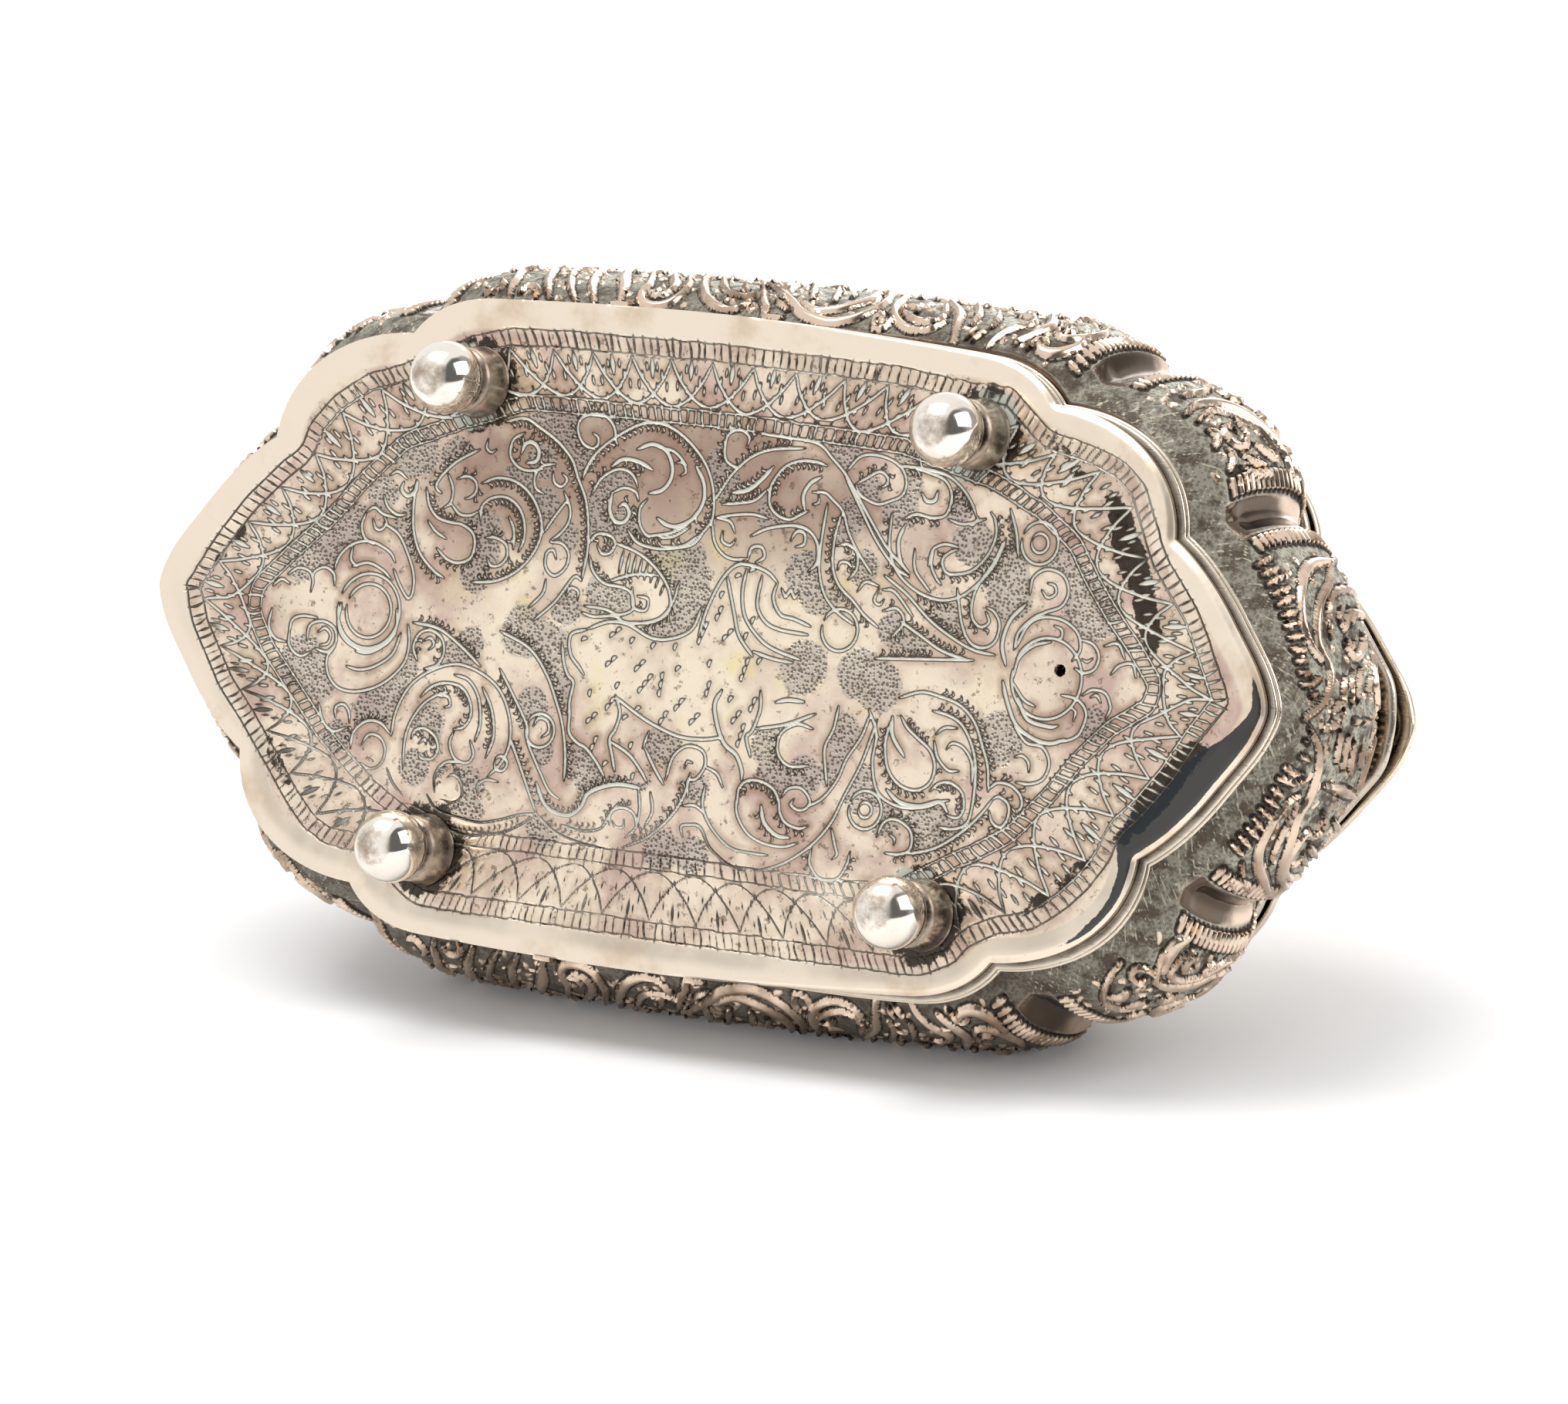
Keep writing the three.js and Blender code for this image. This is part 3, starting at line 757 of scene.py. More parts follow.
def finished(slot):
    """The material of a slot of the record, made the first time that a piece needs it."""
    name = slot.replace("_", " ").capitalize()
    if name in bpy.data.materials:
        return bpy.data.materials[name]
    material = bpy.data.materials.new(name)
    material.use_nodes = True
    nodes = Nodes(material.node_tree)
    shader = nodes.tree.nodes["Principled BSDF"]
    shader.inputs["Metallic"].default_value = 1.0
    finish = {one.__name__: one for one in FINISHES}[slot]
    base, rough, height, depth, *metallic = finish(nodes, bpy.context.scene.silver_box_colours)
    bump = nodes.wire(0, "ShaderNodeBump", {"Height": height, "Distance": depth, "Strength": 1.0})
    keys = ("Base Color", "Roughness", "Normal", "Metallic")
    for key, value in zip(keys, (base, rough, bump, *metallic)):
        nodes.put(shader.inputs[key], value)
    return material


# Pieces

PLATE_BOTTOM = cad_low("base_plate", 2)
PLATE_TOP = cad_high("base_plate", 2)
WALL_BOTTOM = cad_low("body_wall", 2)
WALL_TOP = cad_high("body_wall", 2)
ROLL_TOP = cad_high("body_rim_roll", 2)
RIM_TOP = cad_high("body_rim_wire", 2)
BEZEL_TOP = cad_high("body_bezel", 2)
FLANGE_LOW = cad_low("lid_flange", 2)
FLANGE_TOP = cad_high("lid_flange", 2)
BEAD_TOP = cad_high("lid_bead", 2)

# Middle of a foot, from the middle of the base
FOOT_X, FOOT_Y = 31.4, 25.1


# Cut lines of the base, in millimetres from its middle, as they are seen from below: each
# row is one line through its x,y points, and a star marks a line that is cut heavier

OUTER_LADDER = """
-66.5,0 -63.6,5 -60,10 -55.5,14.5 -53.5,16 -52.5,19 -50,22 -46,24.7 -42,26 -37,28 -33,30 -28,31.2
-20,31.5 0,31.7 10,31.5 22,31.2 28,30.5 35,30.2 37,28.5 40,26.2 45,25.2 49,24 52,21.8 53.5,18.7
55.5,14.7 58,11.8 60,9.5 62,6 65,0.5 62,-3.5 59,-8.5 56,-12.3 54,-14.2 53,-17 51,-20 48.5,-22.5
45,-25 41,-25.9 37.5,-27.5 36,-29.5 33,-31 30,-31.5 0,-31.4 -31,-31.2 -33,-30.5 -40,-26.3 -44,-26
-47,-24.8 -50,-22 -53,-18.5 -57,-14 -60.5,-10.5 -65,-4 -66.5,0
"""

INNER_LADDER = """
0,23.8 -25,23.6 -35,20 -40,18 -44.5,13.7 -48.5,9 -53,4.8 -57,0.8 -57.2,-2 -54.8,-5.7 -50,-10.4
-46.5,-13.9 -43.5,-16.3 -39,-19.5 -33,-22.5 -28,-23.3 0,-23.3 22,-23.5 28,-22.8 33.5,-19.6
38,-17.3 41,-15.5 45,-11 48,-7 51.3,-3.5 55.5,-0.8 56,1.5 53,5 50,8 47,11.5 44.5,15 40,18
34,20.5 22,23.2 0,23.8
"""

LEFT_ROSETTE = """
-55,1 -54,1.8 -52.9,1.4
-53.2,2.4 -52,3.2 -50.5,3 -49.9,2 -50,0.8
-50,2 -49.8,3 -48.5,3.6 -47.3,3 -47,1.8
-47.3,3.5 -46.8,5 -45.3,6.4 -43,6.9 -40.5,6.1 -39.5,5
-45.2,6.2 -45.3,4.8 -44.3,4
-45,4 -43,4.6 -41,4 -39.9,3.2
-44,10 -44.4,8.5 -43.8,7.2 -42.5,6.6
-41.5,9 -39.5,8 -38,6 -37,4 -36.8,2.2 -37.3,1.3 -38.5,2.5 -39.6,4.2
-43,9.3 -42.6,8.4 -41.8,8.3 -41.2,9.1 -41.6,9.6
-44,10 -43,10.6 -41.8,10 -40,9.7
-42,12 -41.3,10.8 -40,10.1 -38.8,10.2
-45.8,0 -46,-2 -45.2,-3.6 -43.3,-4.6 -41,-4.6 -39.2,-3.6 -38.4,-2 -38.6,0
*-38.4,-2.6 -39.8,-4 -41.5,-4.9 -43.2,-5
-37.7,-2.5 -38.5,-4.8 -40.5,-6.3 -42.5,-6.9 -44.2,-6.7
-36.9,-1.5 -36.5,-3.5 -36.8,-5.5 -38.3,-7.3 -40.3,-8.6 -42.8,-9.3 -45,-9.1 -46.5,-7.8 -46.9,-6 -46,-4.8
-52.2,-4 -52,-2.5 -50.8,-1.9 -48.8,-1.9
-49.8,-4.5 -49.6,-2.8 -48,-2.2 -46.4,-2.8 -46,-4.3 -47,-5.4 -48.6,-5.2
-52.2,-3.5 -52,-5.2 -50.5,-6.2 -49,-5.6
-48.4,-3.4 -47.6,-2.9 -46.8,-3.5 -47,-4.5 -48,-4.8
-54.8,-1.5 -55,-3.3 -54,-4.6 -52.5,-4.9
"""

UPPER_LEFT = """
-41.5,14.2 -40.5,14.7 -39.2,14
*-37.8,13.8 -38,12.8 -38.9,12.2 -39.8,12.8 -39.6,13.6
-30.3,18 -33,16.5 -34.8,14.8 -35.4,13.5 -34.6,12.9
-38,14 -38,11 -37.6,8.5 -36.5,6.3 -34.5,4.6 -33,3.9
-36.6,13.3 -36,11.5 -34.8,10.3 -33,9.9 -31.5,9.8 -30,9 -29.6,7.7 -30,6.3 -31.5,5.7 -33,6 -34.4,7
-35.9,9.8 -34.8,8.8 -33.3,8.1
-34,15 -33.2,13.5 -33.3,12 -34.2,11.3
-32.8,14.6 -31.5,15 -30.4,14.5 -30.2,13.5 -30.8,12.8 -31.5,12.6
-33.3,12 -32,10.9 -30.5,10.9 -29.5,11.5
-29.6,14.4 -27.5,15.2 -25,14.9 -23,13.6 -21.6,11.5 -21.3,9.5 -22.2,7.3 -24,5.4 -26.5,4.2 -29.5,3.8
-29.2,10.4 -29.2,12 -28,13 -26.2,13.2 -24.6,12.4 -23.6,10.8 -23.4,9 -23.9,7.6
-25.6,11.2 -24.8,9.8 -24.6,7.8
-28.3,8.7 -27,8.8 -25.6,8.2 -25.3,7 -26,6 -27.2,5.8 -27.8,6.6
*-25,18 -24.6,19.1 -23.6,19.3 -22.8,18.5 -23,17.4 -24.2,17.1
-24.8,20.3 -26.2,19.4 -26.4,17.8 -25.4,16.7 -24,16.3 -22,16.6
-29.4,19.2 -29.5,18.2 -28.8,17.8 -28.2,18.2
-27.5,21.2 -25,21.8 -23,21 -20.5,19.7 -18.5,18 -17.5,16.2 -16.2,14 -15.5,11.5 -15.2,8.5 -15.5,5.3
"""

LOWER_LEFT = """
-35.2,-5.2 -35.9,-3.8 -35.3,-2.3 -33.9,-1.8 -32.4,-2.5 -31.9,-4 -32.6,-5.4 -34.2,-6
-34.6,-3 -33.8,-2.6 -33.3,-3.3 -33.9,-3.9
-36.3,-1.2 -33,-1.5 -30,-3 -27,-5
-37.4,-13.5 -37.2,-11 -36,-8.3 -34,-6.5 -31,-5.2 -28.5,-5.2 -25.5,-6.3 -23.6,-8 -22.4,-10.5 \
-22.2,-13 -23,-15 -24.5,-16.6
-35.4,-17 -35.6,-14 -35.2,-12 -34,-10 -32.5,-8.8 -30.5,-8
-34.2,-9 -33,-7.8 -31.3,-7.2 -29.2,-7.4 -27.9,-8.7 -27.5,-10.3 -28.2,-11.6 -29.5,-12
-30.2,-6.2 -28.3,-6.6 -26.8,-8.3 -26.2,-11 -26.6,-13
-26.4,-7.2 -24.9,-9.5 -24.3,-12.3 -25,-14.6
-31.7,-8.7 -30.7,-8.6 -30.3,-9.5 -31,-9.8
-27.2,-13 -26.6,-14.4 -27.3,-15.4 -29,-15 -29.8,-13.5 -29.4,-12.2
-34.8,-13.6 -34.4,-12.6 -33.2,-12.3 -31.8,-13 -31.2,-14.3 -31.8,-15.4 -33.2,-15.5 -33.7,-14.9
-33.8,-14 -33,-13.4 -32.8,-14
-42.5,-15.5 -42.3,-13.6 -40.8,-12.3 -39,-12.3 -37.6,-13.3
-41.1,-14.8 -40.3,-13.7 -38.9,-13.8 -38,-15 -38.3,-16.6 -39.6,-17.3 -41,-16.8
-40,-16.2 -39.3,-16.5
-47.3,-11 -46.5,-12.8 -45,-13.8 -43.3,-13.2
-44.9,-12.3 -45,-11.2 -44,-10.8 -43.2,-11.6 -43,-12.7
-31,-19 -31.2,-17 -30,-15.6 -28,-15.4
-29.6,-17.2 -28.8,-16.8 -27.8,-17.5 -27.5,-19 -28.6,-19.8 -30.2,-19.6
-25.4,-18.8 -25.6,-17.6 -24.5,-16.9 -23,-17
-37.5,-17 -36.5,-18.5 -35,-19.8
-32,-19.2 -30.5,-20.7 -28,-21.2 -25,-21.5 -22.5,-21 -20,-20.2 -17.7,-19.8
-34,-20.5 -31,-21.5 -27,-23 -22,-22.3 -19,-20.8 -17.8,-19.7
"""

UPPER_MIDDLE = """
-16.8,16.2 -16,18.3 -14,20.3 -11,22.2 -8.5,22.8 -6,22.3 -3.5,20.8 -1.5,18.8 -0.3,16.3 0,13.5 \
-1,11.8 -2,10.5 -4,9.9 -6.5,9.6 -9,10 -10.5,11.3
-15.5,14.5 -14.5,16.3 -12.8,17.4 -11.2,17.4 -10.2,16.6 -9.8,15.8
*-13.4,17.7 -12,18.6 -10,18.5 -8.2,17.8
*-10.4,19.8 -8.6,20.5 -6.8,20 -5.8,18.5 -5.8,17 -6.7,15.8 -8.3,15.3
-7.8,20.2 -5.8,20 -4,18.7
*-2.8,18.7 -1.6,17 -1.4,15 -2.4,13.2 -4.2,12.2 -5.6,12.2 -6.9,12.8
-1.8,14.2 -3,12.6 -4.8,11.5 -6.8,11 -8,10.9 -9,12 -9.2,13.6 -8.4,14.7
-2.6,12.3 -4.5,11.1 -6.5,10.7
-1.4,11.5 -3.5,10.1 -6,9.9
-5.3,18.8 -4.5,18.9 -4,18 -4.6,17.5
*-12.9,15 -13,13.2 -12.2,12 -11,12 -10.5,13 -11.2,13.9 -11.9,13.5
-13,14.9 -11.5,15.6 -10,15.3 -9.5,14.4
-15.8,19.3 -17.3,19.8 -18.2,21.2 -17.9,22.4 -16.5,23 -14.8,22.9 -13.6,21.8 -13.3,20.6 -12.9,20
-16.2,21 -15.5,20.6 -15.5,19.7 -16.3,19.4
-16.9,16 -16.5,17.3 -15.3,19.2
-15.2,9.2 -14.2,10.4 -12.5,10.4 -11.8,9.6 -12.3,8.6 -13.3,8.4 -14,9.2
-14.8,8 -14.2,6.5 -12.5,5.3 -10,5.2
-11.8,9.7 -9,9 -7,8 -5.2,6.5 -4.2,5 -4,3.5 -4.7,2.5 -6.5,1.7 -9,1.5
-10.6,8.9 -10.9,6.6
-9.8,8.7 -10,6.5
-9,8.5 -9.2,6.4
-8.2,8.2 -8.4,6.3
-7.4,7.8 -7.6,6.2
-6.6,7.2 -6.8,6
-5.8,6.6 -6.1,5.5
-5.1,5.8 -5.4,4.8
-12,5.6 -9,6.6 -6,6.8
-9,5.2 -8.6,3.2 -7,3 -6.9,4.2 -8.2,4.4
-12.2,5.3 -9.3,4.8 -8.6,3 -10.3,2.2 -12,2.6 -14.8,2.7
-15,2 -13.4,1.7 -10.8,2 -9.5,1.5 -7.3,1.6 -5,2.4 -3.7,4.2 -3.2,6.4
-20.5,17.3 -22,17 -22.9,16 -22.7,14.6 -21.5,14
-20.7,16.5 -20.4,15.4 -19.4,15 -18.8,15.8 -19.5,16.4
-19,14.5 -18,12.8 -18,11.3 -18.9,10 -20,9.2
-18.2,14 -19.8,11.8 -21,9.9
-20,9 -18.5,9 -17.5,8 -17.7,6.5 -19,5.5 -20.2,6.3 -20.3,7.8 -19.5,8.2 -19,7.3
-20,5 -20.2,3.5 -21.8,1.8
-17.2,3.5 -16.8,4.4 -15.8,4.2 -15.7,3.2
-15.5,5.3 -16.5,5.6 -18.5,2.8 -21,0.5
-0.2,15 0.8,16.7 2,18.5 4,20.3 6.5,21.3 10.5,21.8
5,22.8 8.5,22.7 12,22.4 14,21 15.8,19.5 17.5,17.5 20,14.5 22,12.3 25,10
11.8,15.3 11,14.9 9.6,14.2 8,14.5 6.9,15.5 6.7,17 7,18 8.2,19.6 10,20.4 12,20.5 13.4,20.2
*12.9,19 11.6,18.2 10.9,16.8 11.3,15.3
12,17.3 13.5,17.4 14.5,16.8 16,15.6 17,13.5 18.5,11.5 20.5,9.4
12.2,16 12.9,16.3 12.8,17
15.8,19.3 18,16.3 20.5,13 23,10.6 25,9.6
*6.8,19.5 5.5,18 4,16.8 2,16.3
1,15 3,15.3 5,15.8 6.5,17.2
0.3,13.5 2.5,14 5,14.3 7,14
3.2,21.2 3.4,22.3 2.2,23 0.8,22.4 0.5,21 0.9,19.6 2.4,19 3,19.4
0.5,13.5 2.2,13.3 3,12.2
1.5,12.2 1.5,11.2 2.6,10.8 3.2,11.5
0,13 0.6,11 1.8,9.8 3.2,9.4 4.8,9.6
14,16.3 13.8,13 13.9,9.5 14.8,7 16.5,5.3 19,4
15.9,15.5 15.4,13 15.5,10 16.5,8 18.5,6.5 20,5.2 22,4
15.8,12 17,12.3 18.3,11.5 18.5,9.8 17.6,8.6
16.2,9.5 16.4,10.3 17.3,10.4 17.9,9.9
18.9,7.5 19.8,8.6 21.5,8.3
21.5,8 21.1,6.8 21.8,6.4 22.3,7
15.8,19.8 17.5,21.6 20,21.8 22.3,21 23.3,19.5 23,18 21.5,17.2 20,16.8 18,17.5 17.2,18.5
17.2,18.6 18.5,19.4 20,20.2 21,19.6 20.9,18.9 20.2,18.5
"""

BEAST = """
-14,0.3 -11.5,1.3 -9,1.3 -6,0.2 -3.5,0.3 -1,1.5 0,4
0,1 0.7,4 2,7 3.5,8.7 5.2,9 7.5,8.5 9,7.5
5,8.5 4.8,6 5.5,3.5 7.5,1.5 9.5,0.5 13,-0.3
7,8 6.8,5 8,3.3 10,2.6 13.5,2.4
9,7.5 8.7,5.8 9.8,4.2 11.5,3.9 13.7,3.3
2.7,7.5 4,4 5,1.5 7,-0.5
5,12 7,13 10,13.6 12,13.3 13.3,12 13.5,10 12.6,9
5,9.5 5.3,10.8 6.5,11 7,10 6,9.3
10,12 10.6,13 11.6,12.9 11.7,11.8 10.7,11.4
7,0 9.5,-0.5 12,-0.7
-14,0.3 -16,-0.5 -15.8,-2.5 -14.5,-3.8 -13.8,-4.5
-17,-1.5 -16.5,-3.5 -15.8,-4.8 -15,-5.5 -15.2,-7.5 -15,-9 -14.8,-10.8 -13.6,-11.8 -12.5,-12.2 \
-11,-13.5 -9.7,-15
-9.4,-6.5 -6.5,-8 -4,-9 -1,-9.8 2,-9.8 4.5,-9.3
-9.5,-6.3 -8.7,-8 -9,-9.8 -9.6,-11 -9,-12.8 -8.5,-14.3
-9.5,-11.2 -7,-12.3 -5.3,-13.8 -4.3,-15
-4.8,-9.7 -5.3,-11.5
-5,-11.5 -3.6,-13.4 -2.2,-15
*3.7,-4.4 3,-6 3.7,-8.3 4.8,-10 6.4,-11 7.3,-12.5 7.4,-13.5
8.5,-4 8.7,-6 8,-8.3 7.4,-9 8.2,-11
8.5,-8 12,-7.2 15.6,-5.7
*10.5,-5 12,-4.6 14,-4.6
9.6,6.9 10.2,6.1 10.7,6.9 11.3,6.1 11.8,6.8
"""

LOWER_MIDDLE = """
-25,-1 -21,-2.5 -18.5,-5 -17,-7.5 -15.8,-10 -15,-13 -14.7,-16
-24.5,-5 -22.5,-7.5 -20.3,-10.5 -20,-12
-22.3,-12 -20.5,-15 -18.5,-18.5 -17.7,-19.7
-20,-12.3 -18,-15.2 -16.5,-17.2 -15,-18
-19.4,-10.6 -18.8,-9.7 -17.7,-9.9 -17.4,-11 -18.2,-11.7
*-18.2,-16.5 -17,-18.5 -15.5,-19.4 -13.5,-19.5 -12.2,-18.5 -11.5,-17 -9.5,-16 -7.5,-15.6 -5,-15.7
-17.8,-19.8 -15,-21.5 -11.5,-22.3 -9,-22.5
-14.5,-20.6 -12,-21 -9.5,-20.5 -8.5,-19 -7.5,-17.5
-8.4,-20 -8.3,-18.6 -7,-18 -5.6,-18.4 -5,-19.8 -6.3,-21.2
-8,-19.5 -7.6,-20.1 -6.6,-20 -6.6,-19.2
-5.2,-15.8 -4.8,-18 -5,-20
-3.7,-16 -3.2,-18 -4,-19.8
-6.5,-22.2 -3.5,-20.8 -1,-18.5 0.5,-16 1,-13.5
-2,-14.5 -1.4,-12 0.2,-10.7 2.2,-11 2.7,-12.5 1.8,-14 0.8,-14.3 1,-16
0.2,-13 0.5,-12.3 1.1,-12.4
2.8,-12.6 4.3,-13.2 5.2,-14.5
3,-14.5 3,-16.8 4.5,-19 7,-20.7 10,-21 11.8,-21
0.5,-17 2,-16.8 3.3,-17.5
1,-20.3 0.6,-19.2 1.5,-18.9 3,-19 4.5,-21 7,-22.5 9,-23
7.3,-16 7.2,-14.5 8.2,-13.5 9.8,-13.4 11.4,-14 12.3,-15.2 12.6,-16.4 13.5,-17.4 15.2,-17.8 16.3,-17.4
7.1,-15 7.3,-17 8.8,-18.9 11,-19.8 13.5,-19.9 15.3,-19.3
*10.2,-15.9 10.8,-17.6 12.5,-18.8 14.2,-18.9
12.6,-14.8 13.3,-13.8 14.9,-13.6 16.1,-14.7 15.8,-15.6 14.8,-15.9 13.8,-15.4 14.2,-14.8
10.8,-22.8 14,-21.5 17,-19.3 19,-16.8 20.3,-13.8 21.8,-10.5 22.7,-7.5 23.2,-5.5
15.8,-15.5 17.7,-14.3 19.2,-12.2 20,-10 21.5,-7.5 22.3,-5
17,-19.6 17,-21.3 18.5,-22.7 20.5,-22.5 21.5,-21 21.8,-19.5
19.2,-17.4 19.8,-19 20.2,-20 19.6,-20.6
15.5,-7.3 13.5,-7 11.6,-8.2 11.5,-10.2 13,-11.4 15.5,-11.2
18.3,-4.6 18,-7 17.2,-9 17.5,-11 18,-13
"""

UPPER_RIGHT = """
22,16 22.2,12.5 23.5,10 26,8.3 29,7.6 31.5,8.2 33.5,9.8 35.2,12 36.2,14.7
*23.8,15 23.2,13.2 23.7,11.2 24.3,10.7
25.3,12.6 25.6,10.5 27,9 27.8,8.3
27.6,13 27.5,11.2 28.3,9.8 29,9.2
30.6,13 29.7,12.7 28.8,11.8 29.2,10.7 30.3,10.4 32.5,11 34.2,12.8 34.9,14.8 34.6,16.5 34,17.2
30.5,13.3 28.8,13.4 27.5,12.7 27.2,11
23.5,15.5 25,16.2 27,16 28.6,16.5 29,18.5 28,20 26,20.6 24,21
*25.4,18.4 26,17.7 27,17.8 27.3,18.8
22,21 25,21 28,20.6 30,19.5 31.5,18 32.3,16.6
31.2,15.9 32,15.7 32.5,16.6
29,16 31,15.7 33.5,16.5
35.9,14.3 35,12 33.6,9.8 33,8 33.2,6.2 34.3,5.3 35.3,5.9 34.8,6.9
31,9 32,5.5 33.3,3.6 35,3.2 36.3,4 36.6,5.8 35.8,7 34.8,7.4
22,9.5 25,7.8 28,5.5 31,3.9 34,2.8 36.5,2.6
22,8 23.5,7.9 26,5.6
22.3,5.8 24,6.2 25,4.9 23.6,3
24.5,5 27,3.8 30,2.4 33.5,1.7
22,0.8 28,1.3 34,1.8
36.3,17.8 37.3,15.5 37.9,13
"""

RIGHT_ROSETTE = """
39,0.5 39.4,2.5 41,4 43,4.6
*37.9,1.7 37.2,3.8 37.8,6.3 39.5,8.2
39.8,9.3 40,11 41.5,12 43.5,11.6 44.4,10 43.8,8.4 42,7.6 40.5,6.8 39,5.2 38.7,3.4
41.2,9.8 42,9.1 42.9,9.6 42.7,10.4 41.8,10.6
38.9,3.6 40,6 41.6,7 44,7 46,5.9 46.6,4.2 45.8,2.9
43.2,6.3 44.1,6 44.2,5.2 43.4,4.9
46.5,5.2 48,4.9 48.9,3.8 48.6,2.4 47.3,1.8 46.2,2.2
47,3.2 47.6,3 48.2,3.4
49.4,4.8 51,5.2 52,3.8
50.6,2 51.5,3 53,3.3 53.6,2
*37.8,0 38.6,-2 40,-4.3 42.2,-5.5 44.3,-5.8 46,-5.2
39,0 40.5,-1.6 42,-2.2
*39.8,-1.5 41.3,-3.6 44,-4.1 45,-3.9
45,-0.7 47,-1 48.2,-2.3 47.8,-4.2 47,-5 45.3,-5.6
46.3,-1.9 46.9,-2.2 46.8,-3.2
47.5,-0.5 48.6,0.2 50.2,0 51,-1.4 50.6,-2.5
48.5,-0.6 49.2,-0.3 49.8,-1
39.8,-4.5 41.5,-6 43.5,-6.3 44.5,-7.8 44,-9.5 42.5,-10.2 40.8,-10.2
40.3,-7.6 41.2,-7.4 42,-8 42.2,-9
"""

LOWER_RIGHT = """
30,-2.2 33,-3 35,-4.6 36.3,-7 37.2,-9 37.6,-11.5
25.5,-3 28.4,-2.1 31.8,-2.6
22,-4.5 23.3,-7 23.2,-10 24.3,-13 27,-14.2 30,-14 32,-13.2 33.1,-12.9
24.8,-5.6 24.5,-8 25.2,-10.5 26.9,-12 29,-12.3 30.5,-11.3 30.8,-9.5 30,-8 28.5,-7 27,-6 26,-4.8
*25,-5 25.3,-7 27,-9
29.8,-3.9 31.8,-4.2 33.5,-5 35,-7 35.8,-9.5 35.9,-13 35.5,-15 34,-15.8 32,-15.8
32,-7.7 32.6,-7 34,-7.3 35.2,-8.7 35.6,-11
30.4,-7 31,-8.6 32.4,-9.8 33.8,-9.8
30.5,-6.3 31.5,-5.5 33,-5.4
30.6,-12.2 31.6,-11.3 33,-11.1 34.5,-12 34.9,-13.6 34.3,-14.6 32.9,-14.5
*25.3,-12.6 27,-13.7 29.5,-13.9 31.9,-13.2 33,-14.2
24.8,-17.6 25.5,-16 27,-15.6 28.8,-16.6 29,-18.4 27.8,-19.1 26,-19.2
26.3,-17.2 27,-17.6 27,-18.2
28.7,-19 32,-18 35,-16 37,-14 38.3,-12.2
37.6,-11.3 38.6,-10.5 40.2,-10.6 41.5,-11.5 41.8,-12.6 41.2,-13.4
38.2,-12.3 39,-11.9 40.2,-12.6 40.3,-14 39.6,-15 38.5,-14.6 38,-13.5
"""

# Where the ground is punched with dots: x,y,radius
PUNCHED = """
-38.3,17,1.6 -33,16.8,1.2 -47.5,7,2 -49.5,5,2 -45.5,8.6,1.3 -51.5,4,1.2 -38.5,9,1 -38,7.3,1
-29,9,1.5 -28.5,7.3,1.2 -24.5,15.3,1.2 -22.2,17.5,1 -29,4.6,1 -42,12.2,1 -50,-6.8,1.7
-47.5,-8.5,1.3 -38.5,-9,1.5 -36.8,-6,1 -40,-11.3,1.4 -33,-11.5,1.2 -44.3,-14.3,0.9 -30,-4,1.2
-28.5,-2.5,0.8 -27,-18,1.2 -26.5,-20.3,1 -34,-16.5,1 -20,20.8,1.6 -22.5,21.7,1.2
-17.5,18.2,1 -12,21.8,1.2 -12.5,16,1 -14,13.5,1.3 -14,11.5,1.3 -10.5,12,1 -21.3,12.8,1
-18.3,9.8,0.9 -6.3,9.2,1.2 -3,8.5,1.6 -2.5,5.5,2.2 -2.5,2.5,2.2 -5.5,0.8,1 -12,3.9,1.5
-17,2.3,1 0.8,18.5,1.4 1.2,17,1 7.5,14.5,1 12.5,8.5,1.5 14,6.8,1.2 16.5,13.5,1.2
15.3,6.2,0.8 17,15.2,1 15.5,21.2,1.2 18.7,18,1 19.3,10,1 23.5,21,1 23,16.5,1.2 -22,-0.8,1.5
-18.8,-2,1.5 -17,-6,1 -19.8,-8.5,1 -12.5,-13.5,1.4 -11,-15.3,1.3 -8,-13.5,1.2 -5.5,-14.5,0.8
-3,-10.5,1.3 -2,-11.5,1 -18.5,-13,1 10.5,-9.5,1.3 12,-12.3,1.5 15,-12.5,1.2 18.8,-11.5,1
19,-7.5,1.2 13.5,-1,1.6 20.5,-1,1.5 22,-3,0.8 2,-15,0.8 2.5,-22,1 -1.5,-21.8,1.2
-16.5,-21,1.2 22.5,-13,1.5 23.5,19,1 30,17.5,1 32.3,13.8,1.3 36,11.5,1.8 37.5,9,1.6
43.5,12.2,1.2 45,10.5,1.5 47.5,8.5,2 24,4,1 26.5,3.5,1 29,5.5,1 31,6.5,1.2 23,-2,1.5
38.3,-6,1.6 22.8,-12.5,1.3 25.5,-15.3,1.2 31,-14.8,1.5 33,-16.5,1.5 30,-16.5,1.3 49,-3.5,1
"""

BEAST_BODY = """
-14,0.3 -11.5,1.3 -9,1.3 -6,0.2 -3.5,0.3 -1,1.5 0,3 1,4.5 3,8 5,8.5 5.5,3.5 7.5,1.5 9.5,0 9,-2
8.5,-4 8.7,-7 8,-9 7.4,-13 6.4,-11 4.8,-10 3,-9.5 -1,-9.8 -4,-9 -4.8,-9.9 -5.3,-11.5 -4.4,-15
-8.5,-14.6 -9.6,-15 -12.5,-12.2 -14.8,-10.8 -15,-8 -15,-5.5 -15.8,-2.5
"""

# Places of the arches' feet on the long sides, where the band's arcs meet in points
TOP_FEET = [-22.5, -17.5, -12.5, -7.5, -2.3, 3, 8.3, 14.5, 19.8]
BOTTOM_FEET = [-25, -19, -13.3, -8, -2, 4, 9.5, 15, 20.5]


def read_line(text):
    """Points of one written line, on the part's own X, which runs the other way."""
    points = np.array([[float(v) for v in pair.split(",")] for pair in text.split()])
    return points * np.array([-1, 1])


